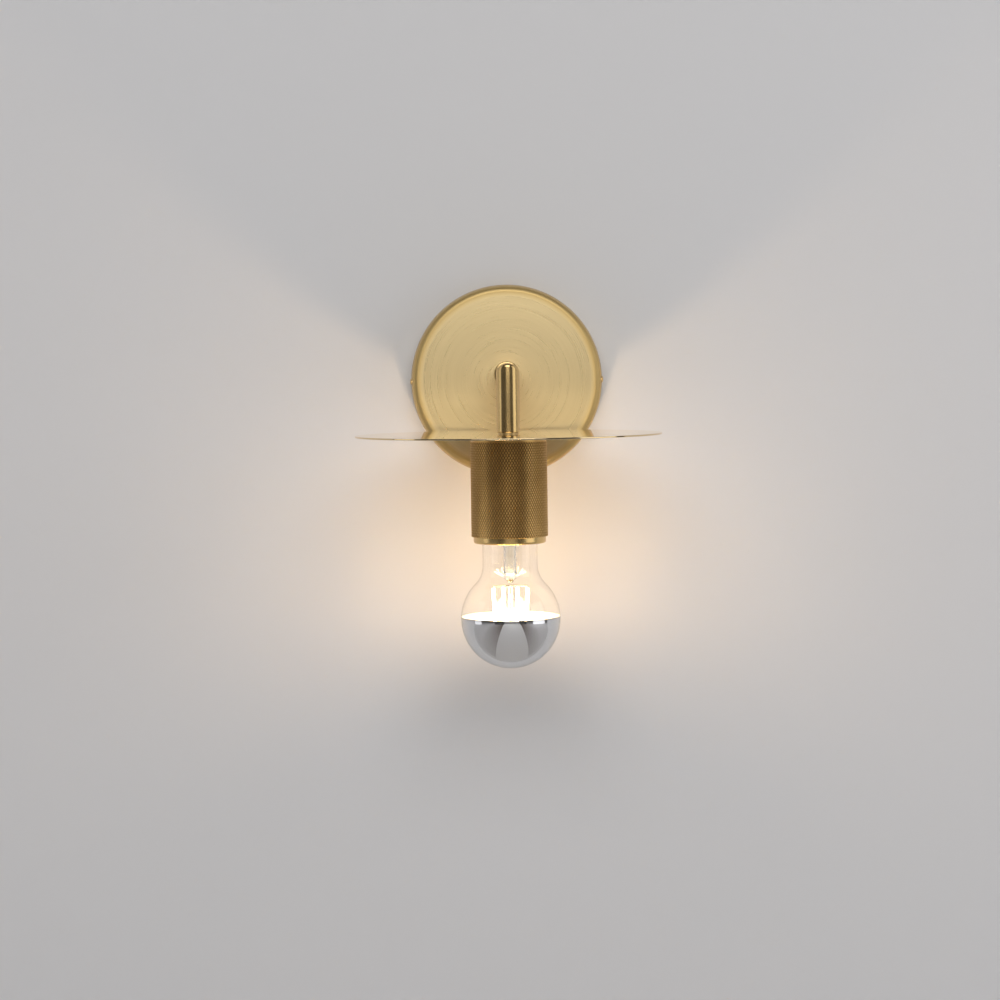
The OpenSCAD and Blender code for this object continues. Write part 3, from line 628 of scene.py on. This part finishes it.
def build_canopy():
    """Spun cup. The profile goes up the flared side, round the edge and over the face to the arm's
    hole, and back inside one wall deeper. The face's circles slide up from the canopy's middle to
    the arm's axis as they shrink, so that the hole sits above the middle."""
    shoulder = CANOPY_RIM - CANOPY_FLARE
    face = shoulder - CANOPY_EDGE
    knee = CANOPY_DEPTH - CANOPY_EDGE
    slope = CANOPY_FLARE / knee
    stations = np.linspace(face, HOLE_R, 40)[1:]
    outer = np.concatenate([
        [[CANOPY_RIM - 0.15, 0], [CANOPY_RIM - 0.02, 0.15], [CANOPY_RIM - slope * 2, 2]],
        arc((face, knee), CANOPY_EDGE, 0, 90, 22),
        [[face - 0.2, CANOPY_DEPTH]],
        np.stack([stations, np.full_like(stations, CANOPY_DEPTH)], 1),
    ])
    back = CANOPY_DEPTH - CANOPY_WALL
    inner = np.concatenate([
        np.stack([stations[::-1], np.full_like(stations, back)], 1),
        arc((face, knee), CANOPY_EDGE - CANOPY_WALL, 90, 0, 14),
        [[CANOPY_RIM - CANOPY_WALL - slope * 2, 2], [CANOPY_RIM - CANOPY_WALL, 0]],
    ])
    profile = np.concatenate([outer, inner])
    shift = ARM_RISE * np.clip((face - profile[:, 0]) / (face - HOLE_R), 0, 1)
    turned_piece("canopy_spun", turn_wall(profile, 240, shift), True, body="fixture",
                 finish=brushed, slot="brushed_brass", stands_for=("canopy",))


def build_collar():
    """Small turned collar with a rounded front edge between the canopy and the tube."""
    low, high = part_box("arm_collar")
    r = (high.x - low.x) / 2 / MM
    near, far = -high.y / MM, -low.y / MM
    profile = soften([[HOLE_R, near], [r, near], [r, far], [HOLE_R, far]], [0.1, 0.15, 1.0, 0.1], 9)
    turned_piece("arm_collar_turned", turn_wall(profile, 96, ARM_RISE), True, body="fixture",
                 finish=bright, slot="polished_brass", stands_for=("arm_collar",))


def build_tube():
    """Mitred tube. At an angle round the tube whose sine is s the outer line runs out along the
    arm to y = lamp - R s, z = rise + R s, and then straight down; the two legs meet in a short
    curve that is longer on the outside of the bend than on the inside. The bore comes back."""
    columns = 96
    angle = np.arange(columns) * FULL / columns
    sine = np.sin(angle)
    t = np.linspace(0, 1, 9)[:, None]
    rows = []
    for r in (TUBE_R, TUBE_BORE):
        x = r * np.cos(angle)
        corner = np.stack([x, LAMP_Y - r * sine, ARM_RISE + r * sine])
        reach = 0.3 + 1.15 * (1 + sine)
        a = corner + np.stack([0 * x, reach, 0 * x])
        b = corner - np.stack([0 * x, 0 * x, reach])
        bend = ((1 - t)[..., None] ** 2 * a.T + 2 * (t * (1 - t))[..., None] * corner.T
                + t[..., None] ** 2 * b.T)
        level = np.ones(columns)
        soft = 0.25 if r == TUBE_R else -0.1
        side = np.cos(angle)
        start = [np.stack([(r - k) * side, ROOT_Y * level - m, ARM_RISE + (r - k) * sine], 1)
                 for k, m in ((soft, 0), (soft * 0.3, abs(soft) * 0.3), (0, abs(soft)))]
        end = [np.stack([(r - k) * side, LAMP_Y - (r - k) * sine, TUBE_FOOT * level + m], 1)
               for k, m in ((0, abs(soft)), (soft * 0.3, abs(soft) * 0.3), (soft, 0))]
        near = [np.stack([r * side, (ROOT_Y - m) * level, ARM_RISE + r * sine], 1) for m in (0.5, 1.2)]
        low = [np.stack([r * side, LAMP_Y - r * sine, (TUBE_FOOT + m) * level], 1) for m in (1.2, 0.5)]
        leg = np.concatenate([start, near, bend, low, end])
        rows.append(leg if r == TUBE_R else leg[::-1])
    turned_piece("arm_tube_mitred", np.concatenate(rows), True, body="fixture",
                 finish=tube_brass, slot="polished_brass", stands_for=("arm_tube",), crease=40)


# ---------- disc and lampholder ----------


def build_disc():
    """Flat disc with its hole and softly broken edges."""
    profile = soften([[HOLE_R, 0], [DISC_R, 0], [DISC_R, DISC_T], [HOLE_R, DISC_T]], [0.1, 0.3, 0.3, 0.1])
    middle = np.argmax(np.diff(profile[:, 0])) + 1
    fill = np.linspace(profile[middle - 1], profile[middle], 12)[1:-1]
    profile = np.insert(profile, middle, fill, axis=0)
    turned_piece("shade_disc_flat", turn_lamp(profile, 288), True, body="fixture",
                 finish=disc_brass, slot="polished_brass", stands_for=("shade_disc",))


def build_cover():
    """Knurled cup. Two families of helical grooves cross at 30 degrees to the axis and leave
    diamonds with flat tops: with p and q the two helical coordinates, each folded to its distance
    from the nearest even number, the groove is as deep as (max(p, q) - 1/2) * 2, from 0 to 1."""
    diamonds = 84
    columns = diamonds * 4
    depth = 0.36
    plain_edge = 0.25
    step = FULL * COVER_R / diamonds * math.sqrt(3) / 4
    knurl_top = COVER_TOP + BAND_H + plain_edge
    knurl_foot = COVER_FOOT - plain_edge
    rows = int(round((knurl_foot - knurl_top) / step))
    down = np.linspace(knurl_top, knurl_foot, rows + 1)
    v = np.arange(rows + 1)[:, None] / 2
    u = np.arange(columns)[None, :] / 2

    def fold(t):
        return np.abs((t + 1) % 2 - 1)

    groove = np.clip((np.maximum(fold(u + v), fold(u - v)) - 0.5) * 2, 0, 1)
    centre_u = u + 0.25
    centre_v = v[:-1] + 0.25
    along = fold(centre_u + centre_v) > fold(centre_u - centre_v)
    bore = COVER_R - 2.0
    seat = DISC_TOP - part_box("holder_insulator")[1].z / MM
    ceiling = COVER_TOP + 2
    lead_in = soften([[HOLE_R, ceiling], [HOLE_R, COVER_TOP], [BAND_R - 0.25, COVER_TOP],
                      [BAND_R, COVER_TOP + 0.5], [BAND_R, COVER_TOP + BAND_H],
                      [COVER_R - depth, COVER_TOP + BAND_H]], 0.12, 4, closed=False)[1:]
    back = soften([[COVER_R - depth, COVER_FOOT], [bore, COVER_FOOT], [bore, seat], [bore - 2, seat],
                   [bore - 2, ceiling], [HOLE_R, ceiling]], 0.2, 4, closed=False)
    across = np.concatenate([lead_in[:, 0], np.full(rows + 1, COVER_R), back[:, 0]])
    level = np.concatenate([lead_in[:, 1], down, back[:, 1]])
    radius = np.repeat(across[:, None], columns, 1)
    deep = np.zeros_like(radius)
    first = len(lead_in)
    radius[first:first + rows + 1] -= depth * groove
    deep[first:first + rows + 1] = groove
    split = np.zeros((len(across), columns), int)
    split[first:first + rows] = np.where(along, 2, 1)
    angle = np.arange(columns) * FULL / columns
    points = np.stack([radius * np.cos(angle), LAMP_Y + radius * np.sin(angle),
                       np.broadcast_to((DISC_TOP - level)[:, None], radius.shape)], -1)
    faces = grid_faces(len(across), columns, True, split)
    make_piece("holder_cover_knurled", points.reshape(-1, 3), faces, "fixture", knurled,
               "knurled_brass", ("holder_cover",), crease=24, values={"groove": deep})


def build_ring():
    """Plain ring with a rounded lower edge; its spigot goes up inside the cover."""
    spigot = COVER_R - 2.1
    profile = soften([[RING_BORE, RING_HEAD], [spigot, RING_HEAD], [spigot, COVER_FOOT],
                      [RING_R, COVER_FOOT], [RING_R, RING_FOOT], [RING_BORE, RING_FOOT]],
                     [0.3, 0.3, 0.05, 0.15, 1.5, 0.4], 8)
    turned_piece("holder_ring_turned", turn_lamp(profile, 168), True, body="fixture",
                 finish=ring_brass, slot="polished_brass", stands_for=("holder_ring",))


THREAD_DEPTH = 0.9
THREAD_COLUMNS = 96


def threaded(down, radius, fade_top, fade_foot):
    """Radius of a rolled round thread: mean plus half the depth times the cosine of height over
    pitch less the turn, which climbs with the angle as a right-hand screw does, and dies out
    towards both ends."""
    angle = np.arange(THREAD_COLUMNS) * FULL / THREAD_COLUMNS
    down = down[:, None]
    height = DISC_TOP - down
    wave = 0.5 + 0.5 * np.cos(FULL * height / PITCH - angle)
    live = np.clip((down - fade_top) / 1.2, 0, 1) * np.clip((fade_foot - down) / 1.2, 0, 1)
    r = radius - THREAD_DEPTH * (1 - wave * live)
    return np.stack([r * np.cos(angle), LAMP_Y + r * np.sin(angle),
                     np.broadcast_to(height, r.shape)], -1)


def build_screw_shell():
    """Sheet shell rolled to the lamp's thread, with a turned-in top."""
    down = np.linspace(SHELL_HEAD + 0.5, SHELL_FOOT, 64)
    thick = 0.35
    bore = SHELL_R - 0.5
    lip_r = 12.02
    outer = threaded(down, bore + thick, SHELL_HEAD + 1.5, SHELL_FOOT - 0.4)
    inner = threaded(down[::-1], bore, SHELL_HEAD + 1.5, SHELL_FOOT - 0.4)
    lip = [[lip_r, SHELL_HEAD + 0.4], [lip_r, SHELL_HEAD], [lip_r + 0.58, SHELL_HEAD]]
    top = turn_lamp(lip, THREAD_COLUMNS)
    turned_piece("screw_shell_rolled", np.concatenate([top, outer, inner]), True, body="fixture",
                 finish=raw_brass, slot="raw_brass", stands_for=("screw_shell",), crease=50)


# ---------- lamp ----------


def bulb_profile(inset):
    """Half outline of the bulb from crown to seal: a ball, a hollow blend and a straight neck."""
    blend_x = NECK_R + BLEND_R
    blend_level = BULB_MID - math.sqrt((BULB_R + BLEND_R) ** 2 - blend_x ** 2)
    turn = math.degrees(math.atan2(blend_level - BULB_MID, blend_x))
    ball = arc((0, BULB_MID), BULB_R - inset, 90, turn, 72)
    ball[0, 0] = 0
    hollow = arc((blend_x, blend_level), BLEND_R + inset, 180 + turn, 180, 24)
    neck = NECK_R - inset
    seal = SEAL_R - inset
    rest = np.array([[neck, blend_level - 3], [neck, CAP_FOOT + 6], [neck - 0.25, CAP_FOOT + 4.2],
                     [neck - 1.1, CAP_FOOT + 2.4], [seal + 0.8, CAP_FOOT + 1], [seal, CAP_FOOT - 0.2],
                     [seal, GLASS_HEAD]])
    return np.concatenate([ball, hollow[1:], rest])


def build_bulb():
    """Blown glass with an outer and an inner skin that meet at the seal."""
    outer = bulb_profile(0)
    inner = bulb_profile(GLASS_T)[::-1]
    turned_piece("bulb_blown", turn_lamp(np.concatenate([outer, inner]), 144), False, body="lamp",
                 finish=glass, slot="clear_glass", stands_for=("bulb_glass",), crease=60)


def build_mirror():
    """Silver coat inside the crown: a thin bowl with a crisp edge."""
    r = BULB_R - GLASS_T - MIRROR_GAP
    edge = -math.degrees(math.asin(MIRROR_RISE / r))
    outer = arc((0, BULB_MID), r, 90, edge, 64)
    inner = arc((0, BULB_MID), r - MIRROR_T, edge, 90, 64)
    outer[0, 0] = inner[-1, 0] = 0
    turned_piece("bulb_silvered", turn_lamp(np.concatenate([outer, inner]), 144), False, body="lamp",
                 finish=mirror, slot="silvered_crown", stands_for=("bulb_mirror",), crease=60)


def build_cap():
    """Thin cap shell with the rolled thread and a turned-in top."""
    down = np.linspace(CAP_HEAD + 0.9, CAP_FOOT, 60)
    sheet = 0.3
    outer = threaded(down, CAP_R, CAP_HEAD + 1.4, CAP_FOOT - 2.2)
    inner = threaded(down[::-1], CAP_R - sheet, CAP_HEAD + 1.4, CAP_FOOT - 2.2)
    top = turn_lamp([[CAP_R - 2, CAP_HEAD + 0.35], [CAP_R - 2, CAP_HEAD], [CAP_R - 1.3, CAP_HEAD],
                     [CAP_R - 1.0, CAP_HEAD + 0.4]], THREAD_COLUMNS)
    under = turn_lamp([[CAP_R - 1.3, CAP_HEAD + 0.6]], THREAD_COLUMNS)
    turned_piece("bulb_cap_rolled", np.concatenate([top, outer, inner, under]), True, body="lamp",
                 finish=nickel, slot="cap_metal", stands_for=("bulb_cap",), crease=50)


def build_stem():
    """Glass stem: a flare sealed in the neck, a tube pinched at its foot and the rod below it."""
    flare = SEAL_R - 1.1
    outline = [[flare, CAP_FOOT - 6], [10.2, CAP_FOOT - 4], [6.6, CAP_FOOT + 0.5], [4.4, CAP_FOOT + 5],
               [4.0, CAP_FOOT + 8], [4.0, STEM_FOOT - 3.5], [3.5, STEM_FOOT - 1.4], [1.9, STEM_FOOT - 0.2],
               [1.2, STEM_FOOT + 0.8], [1.2, ROD_FOOT - 0.8], [0.9, ROD_FOOT - 0.1],
               [0.0, ROD_FOOT]]
    inside = [[0.0, STEM_FOOT - 3.2], [2.2, STEM_FOOT - 3.8], [3.0, STEM_FOOT - 5.5], [3.0, CAP_FOOT + 8],
              [3.4, CAP_FOOT + 5], [5.6, CAP_FOOT + 0.5], [9.2, CAP_FOOT - 4], [flare - 1, CAP_FOOT - 6]]
    outer = soften(outline, 1.2, 5, closed=False)
    inner = soften(inside, 1.0, 5, closed=False)
    grid = turn_lamp(np.concatenate([outer, inner]), 64)
    piece = turned_piece("bulb_stem_drawn", grid, True, body="lamp", finish=stem, slot="clear_glass",
                         stands_for=("bulb_stem",), crease=60)
    piece.visible_shadow = False


def spoke(index, points):
    """Points given as (away from the axis, sideways, down) turned to one filament's place."""
    p = np.asarray(points, float)
    angle = (index + 0.5) * FULL / FILAMENTS
    away, aside, down = p.T
    x = away * math.cos(angle) - aside * math.sin(angle)
    y = away * math.sin(angle) + aside * math.cos(angle)
    return np.stack([x, LAMP_Y - y, DISC_TOP - down], 1)


def build_filaments():
    """Eight slim rods in a ring that narrows towards its foot, each with two narrower metal ends."""
    share = np.array([0, 0.012, 0.03, 0.034, 0.045, 0.06] + list(np.linspace(0.1, 0.9, 17))
                     + [0.94, 0.955, 0.966, 0.97, 0.988, 1])
    size = np.interp(share, [0, 0.032, 0.034, 0.06, 0.94, 0.966, 0.968, 1],
                     [0.45, 0.45, 0.72, 0.9, 0.9, 0.72, 0.45, 0.45])
    grids = []
    for k in range(FILAMENTS):
        away = FILAMENT_TOP_R + FILAMENT_L * share * math.sin(LEAN)
        down = FILAMENT_LEVEL + FILAMENT_L * share * math.cos(LEAN)
        path = spoke(k, np.stack([away, 0 * away, down], 1))
        grids.append(tube_along(path, size, FILAMENT_SIDES, (0, 1, 0.03)))
    points, faces = join_grids(grids)
    along = np.tile(np.repeat(np.concatenate([[0], share, [1]]), FILAMENT_SIDES), FILAMENTS)
    make_piece("bulb_filaments_lit", points, faces, "lamp", lit, "filament",
               ("bulb_filaments",), crease=50, values={"along": along})


def build_support_wires():
    """Bent wires from the hubs on the rod to both ends of every filament, and two hubs."""
    foot = FILAMENT_LEVEL + FILAMENT_L * math.cos(LEAN)
    grids = []
    for k in range(FILAMENTS):
        top = smooth_path(spoke(k, [
            [1.7, 0, FILAMENT_LEVEL - 0.7], [4.0, 0.5, FILAMENT_LEVEL - 0.95],
            [7.5, -0.6, FILAMENT_LEVEL - 0.6], [FILAMENT_TOP_R - 0.9, 0.1, FILAMENT_LEVEL - 0.85],
            [FILAMENT_TOP_R - 0.1, 0, FILAMENT_LEVEL - 0.45],
            [FILAMENT_TOP_R, 0, FILAMENT_LEVEL + 0.6]]), 4)
        low = smooth_path(spoke(k, [
            [1.7, 0, foot + 0.7], [4.0, 0.25, foot + 0.75], [6.6, -0.25, foot + 0.65],
            [FILAMENT_FOOT_R - 0.7, 0, foot + 0.7], [FILAMENT_FOOT_R - 0.05, 0, foot + 0.3],
            [FILAMENT_FOOT_R, 0, foot - 0.6]]), 4)
        for path in (top, low):
            grids.append(tube_along(path, WIRE_R, 8, (0.02, 0.03, 1)))
    points, faces = join_grids(grids)
    hubs = []
    for level in (FILAMENT_LEVEL - 0.7, foot + 0.7):
        head, base = level - 0.5, level + 0.5
        hubs.append(turn_lamp(soften([[1.3, head], [2.0, head], [2.0, base], [1.3, base]], 0.15), 24))
    more, hub_faces = join_grids(hubs, closed=True)
    faces += (np.asarray(hub_faces) + len(points)).tolist()
    make_piece("bulb_support_wires_bent", np.concatenate([points, more]), faces, "lamp", wire_steel,
               "support_wire", ("bulb_support_wires",), crease=50)


# ---------- leads ----------


def arm_route(ox, on):
    """Along the arm's axis, round the elbow and down to the holder's nipple, beside the middle of
    the bundle by ox across and on towards the outside of the bend."""
    flat = [[ox, y, ARM_RISE + on] for y in (5 - CANOPY_DEPTH, ROOT_Y - 11, (ROOT_Y + LAMP_Y) / 2)]
    turn = np.radians(np.arange(0, 91, 15))
    bend = np.stack([np.full_like(turn, ox), LAMP_Y + BEND_R - (BEND_R + on) * np.sin(turn),
                     ARM_RISE - BEND_R + (BEND_R + on) * np.cos(turn)], 1)
    down = [[ox, LAMP_Y - on, DISC_TOP - s] for s in (-9, 0, NIPPLE_END)]
    return np.concatenate([flat, bend, down])


def lead_route(pole, ox, on, finish):
    """From a pole of the terminal block through the arm to a point in the lampholder."""
    start = [[pole, -POLE_OUT, BLOCK_UP + up] for up in (4 - BLOCK_HALF, BLOCK_HALF - 0.5, BLOCK_HALF + 3)]
    rise = [[pole * 0.75, -POLE_OUT, BLOCK_UP / 2],
            [pole * 0.35 + ox / 2, -POLE_OUT - 0.6, ARM_RISE + on - 8],
            [ox, -POLE_OUT - 3.6, ARM_RISE + on - 1.6]]
    return np.concatenate([start, rise, arm_route(ox, on), finish])


def to_terminal(side):
    """Last points of a lead, out to the holder's terminal on one side."""
    end = DISC_TOP - LEAD_END
    post = side * POST_X
    return [[post * 0.45, LAMP_Y, end + 6.5], [post * 0.9, LAMP_Y, end + 3], [post, LAMP_Y, end - 1]]


def build_lead(name, route, finish, slot, node, side=(1, 0, 0)):
    """Insulated lead: a circle carried along the route, thin and bare at both ends."""
    path = smooth_path(route, 8)
    count = len(path)
    place = np.arange(count)
    bare = (place < 10) | (place > count - 11)
    radius = np.where(bare, CORE_R, LEAD_R)
    grid = tube_along(path, radius, LEAD_SIDES, side)
    travel = np.concatenate([[0], np.cumsum(np.linalg.norm(np.diff(path, axis=0), axis=1))]) * MM
    along = np.repeat(np.concatenate([travel[:1], travel, travel[-1:]]), LEAD_SIDES)
    ends = np.repeat(np.concatenate([[1], bare * 1.0, [1]]), LEAD_SIDES)
    around = np.tile(np.abs(np.arange(LEAD_SIDES) / LEAD_SIDES * 2 - 1), count + 2)
    rows, columns = grid.shape[:2]
    make_piece(name, grid.reshape(-1, 3), grid_faces(rows, columns, False), "fixture", finish, slot,
               (node,), crease=50, values={"along": along, "bare": ends, "around": around})


def build_leads():
    """Live, neutral and earth through the arm, and the bracket's own earth lead."""
    shift = BUNDLE * math.cos(math.radians(30))
    build_lead("live_lead_sheathed", lead_route(POLE_PITCH, shift, -BUNDLE / 2, to_terminal(1)),
               live_pvc, "live_sheath", "live_lead")
    build_lead("neutral_lead_sheathed", lead_route(-POLE_PITCH, -shift, -BUNDLE / 2, to_terminal(-1)),
               neutral_pvc, "neutral_sheath", "neutral_lead")
    turn_y = LAMP_Y - 12.5
    exit_z = DISC_TOP - NIPPLE_END
    tag = DISC_TOP - 3.9
    build_lead("earth_lead_sheathed", lead_route(0, 0, BUNDLE, [
        [0, LAMP_Y - BUNDLE - 1.6, exit_z - 3.6],
        [0, (turn_y + LAMP_Y - BUNDLE) / 2, exit_z - 5.2],
        [0, turn_y + 0.8, exit_z - 2.8],
        [0, turn_y, tag - 2.6],
        [0, turn_y, tag + 0.4]]), earth_pvc, "earth_sheath", "earth_lead")
    below = BLOCK_UP - BLOCK_HALF
    low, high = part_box("bracket_earth_screw")
    screw_x = (low.x + high.x) / 2 / MM
    build_lead("bracket_earth_lead_sheathed", [
        [0, -POLE_OUT, below + 3], [0, -POLE_OUT, below + 1], [0, -POLE_OUT, below - 2.5],
        [6, -POLE_OUT, below - 7], [15, -POLE_OUT, below - 6], [24, -POLE_OUT, BLOCK_UP * 0.85],
        [screw_x - 6, -POLE_OUT + 1, -16], [screw_x - 0.5, -4.5, -9],
        [screw_x, -3.15, -4.2]], earth_pvc, "earth_sheath", "bracket_earth_lead", (0, 1, 0))


build_canopy()
build_collar()
build_tube()
build_disc()
build_cover()
build_ring()
build_screw_shell()
build_bulb()
build_mirror()
build_cap()
build_stem()
build_filaments()
build_support_wires()
build_leads()

CARRIED = {
    zinc: ["wall_bracket", "terminal_screws", "terminal_fixing_screw", "arm_nipple", "arm_lock_washer",
           "arm_nut", "holder_nipple", "holder_lock_washer", "holder_nut", "holder_terminal_screws"],
    raw_brass: ["bracket_earth_screw", "terminal_inserts", "arm_root_bush", "arm_foot_bush",
                "holder_earth_tag", "holder_terminals"],
    bright: ["canopy_side_screws"],
    nylon: ["terminal_block", "arm_wire_bush"],
    porcelain: ["holder_insulator"],
    bronze: ["contact_anchor", "contact_tongue"],
    solder: ["bulb_contact"],
    black_glass: ["bulb_cap_insulator"],
    board: ["bulb_driver_board"],
}
for finish, names in CARRIED.items():
    for name in names:
        nodes[name].data.materials.clear()
        nodes[name].data.materials.append(finish)


# ---------- room, lights and camera ----------


def plain(name, colour, rough, one_sided=False):
    """Painted surface with a faint mottle; seen from behind it can let everything through."""
    f = Finish(name)
    x, y, z = f.place()
    cloud = f.noise(f.vector(x, y, z), 3.0, 3.0)
    darker = tuple(c * 0.985 for c in colour)
    paint = f.principled(Base_Color=f.mix(cloud, darker, colour), Roughness=rough)
    if not one_sided:
        return f.show(paint)
    behind = f.put("ShaderNodeNewGeometry", out="Backfacing")
    clear = f.put("ShaderNodeBsdfTransparent")
    return f.show(f.put("ShaderNodeMixShader", {0: behind, 1: paint, 2: clear}))


def stage_mesh(name, points, faces, finish):
    """Piece of the room, from points in metres."""
    mesh = bpy.data.meshes.new(name)
    mesh.from_pydata(points, [], faces)
    mesh.materials.append(finish)
    thing = bpy.data.objects.new(name, mesh)
    bpy.context.scene.collection.objects.link(thing)
    return thing


OPENING_R = 0.0585
WALL_BACK = 0.0004
WALL_REACH = (2.2, 1.6)
WALL_MIDDLE = 1.0
FLOOR_Z = -0.42
FLOOR_REACH = 9
TABLE_Z = FLOOR_Z + 0.01


def build_room():
    """Wall with a round opening behind the canopy, which the canopy hides, and a pale floor."""
    columns = 96
    angle = np.arange(columns) * FULL / columns + FULL / 8
    ring = OPENING_R * np.stack([np.cos(angle), np.sin(angle)], 1)
    square = ring / np.abs(ring).max(1, keepdims=True)
    edge = square * WALL_REACH + [0, WALL_MIDDLE]
    rows = np.stack([ring, ring * 1.5, edge])
    back = np.full(rows.shape[:2], WALL_BACK)
    points = np.stack([rows[..., 0], back, rows[..., 1]], -1).reshape(-1, 3)
    faces = [face[::-1] for face in grid_faces(len(rows), columns, False)]
    wall_paint = plain("wall_paint", (0.80, 0.79, 0.79), 0.9, True)
    stage_mesh("room_wall", points.tolist(), faces, wall_paint)
    far = FLOOR_REACH
    corners = [(-far, -far, FLOOR_Z), (far, -far, FLOOR_Z), (far, far, FLOOR_Z), (-far, far, FLOOR_Z)]
    stage_mesh("room_floor", corners, [(0, 1, 2, 3)], plain("floor_paint", (0.74, 0.72, 0.70), 0.7))


def soft_light(name, place, aim, width, height, power, colour):
    """Rectangular soft light that points from its place at aim."""
    data = bpy.data.lights.new(name, "AREA")
    data.shape = "RECTANGLE"
    data.size = width
    data.size_y = height
    data.energy = power
    data.color = colour
    lamp = bpy.data.objects.new(name, data)
    lamp.location = place
    way = Vector(aim) - Vector(place)
    lamp.rotation_mode = "QUATERNION"
    lamp.rotation_quaternion = way.to_track_quat("-Z", "Y")
    lamp.visible_camera = False
    bpy.context.scene.collection.objects.link(lamp)


def reflected_card(name, corners, finish):
    """Card that only reflections see."""
    card = stage_mesh(name, corners, [(0, 1, 2, 3)], finish)
    card.visible_camera = False
    card.visible_diffuse = False
    card.visible_shadow = False
    card.visible_transmission = False


def dark_card(name, bearing, spread, distance, low, high, shade):
    """Upright card beside the camera. bearing is measured from the line in front of the light,
    towards the right."""
    a = math.radians(bearing - spread / 2)
    b = math.radians(bearing + spread / 2)
    corners = []
    for angle, z in ((a, low), (b, low), (b, high), (a, high)):
        corners.append((distance * math.sin(angle), LAMP_Y * MM - distance * math.cos(angle), z))
    reflected_card(name, corners, plain(name, (shade, shade, shade), 1.0))


def low_card(name, side, near_x, far_x, dark, light):
    """Flat card just above the floor, in front of the wall. Its inner edge runs outwards from near_x
    beside the wall to far_x at its far end. It is dark and brown along that edge at the far end, and
    grows pale away from the edge and towards the wall."""
    far_y, near_y, outer_x = -3.4, -0.05, 3.0
    corners = [(side * x, y, TABLE_Z) for x, y in (
        (outer_x, far_y), (far_x, far_y), (near_x, near_y), (outer_x, near_y))]
    f = Finish(name)
    x, y, z = f.place()
    inner = near_x + (y - near_y) * ((near_x - far_x) / (near_y - far_y))
    away = ((x * side - inner) * 1.1 + ((y - far_y) * 0.3) ** 5 * 0.8).clamp()
    reflected_card(name, corners, f.show(f.principled(
        Base_Color=f.mix(away, dark, light), Roughness=1.0)))


def build_glow():
    """Small warm light at the filaments, for the light they throw on the wall."""
    data = bpy.data.lights.new("filament_light", "POINT")
    data.energy = 0.52
    data.color = (1.0, 0.71, 0.45)
    data.shadow_soft_size = 0.011
    glow = bpy.data.objects.new("filament_light", data)
    glow.location = (0, LAMP_Y * MM, (DISC_TOP - FILAMENT_LEVEL - 6) * MM)
    glow.visible_camera = False
    glow.visible_glossy = False
    bpy.context.scene.collection.objects.link(glow)


def build_world():
    """Faint cool light from all sides."""
    world = bpy.data.worlds.new("studio")
    world.use_nodes = True
    background = world.node_tree.nodes["Background"]
    background.inputs["Color"].default_value = (0.93, 0.945, 1.0, 1)
    background.inputs["Strength"].default_value = 0.1
    bpy.context.scene.world = world
    bpy.context.scene.view_settings.view_transform = "Standard"


def build_camera():
    """Camera in front of the light, a little above its lamp and tilted down."""
    data = bpy.data.cameras.new("camera")
    data.lens = 90
    data.sensor_width = 36
    camera = bpy.data.objects.new("camera", data)
    yaw = math.radians(0.12)
    pitch = math.radians(-3.14)
    roll = math.radians(-0.77)
    forward = Vector((math.sin(yaw) * math.cos(pitch), math.cos(yaw) * math.cos(pitch), math.sin(pitch)))
    level = Vector((math.cos(yaw), -math.sin(yaw), 0))
    upright = level.cross(forward)
    right = math.cos(roll) * level + math.sin(roll) * upright
    up = right.cross(forward)
    turned = Matrix((right, up, -forward)).transposed().to_4x4()
    camera.matrix_world = Matrix.Translation((-0.0087, -1.6157, 0.0113)) @ turned
    bpy.context.scene.collection.objects.link(camera)
    bpy.context.scene.camera = camera


build_room()
dark_card("left_flag", -27, 22, 1.9, -0.42, 0.6, 0.14)
dark_card("right_flag", 28, 16, 1.9, -0.42, 0.6, 0.14)
low_card("left_table", -1, 0.10, 0.95, (0.08, 0.04, 0.015), (0.70, 0.68, 0.67))
low_card("right_table", 1, 0.11, 1.25, (0.08, 0.04, 0.015), (0.70, 0.68, 0.67))
soft_light("left_window", (-1.7, -0.36, 0.1), (0, -0.1, -0.05), 0.6, 1.6, 2.4, (0.96, 0.97, 1.0))
soft_light("right_window", (1.6, -0.75, 0.1), (0, -0.1, -0.05), 1.0, 1.6, 5.4, (0.97, 0.98, 1.0))
soft_light("front_low", (0.06, -2.5, -0.26), (0.06, 0, -0.1), 1.3, 0.1, 0.2, (1.0, 0.97, 0.92))
soft_light("front_high", (0.06, -2.5, 0.7), (0, 0, 0), 1.5, 1.0, 7.8, (1.0, 0.98, 0.95))
soft_light("key_light", (0, -2.3, 1.25), (0, 0, 0), 2.4, 1.3, 22.5, (0.96, 0.975, 1.0))
soft_light("back_light", (-0.9, 1.6, 1.1), (0, 0.2, -0.2), 1.6, 1.6, 30, (1.0, 0.99, 0.97))

build_glow()
build_world()
build_camera()

bpy.context.view_layer.update()
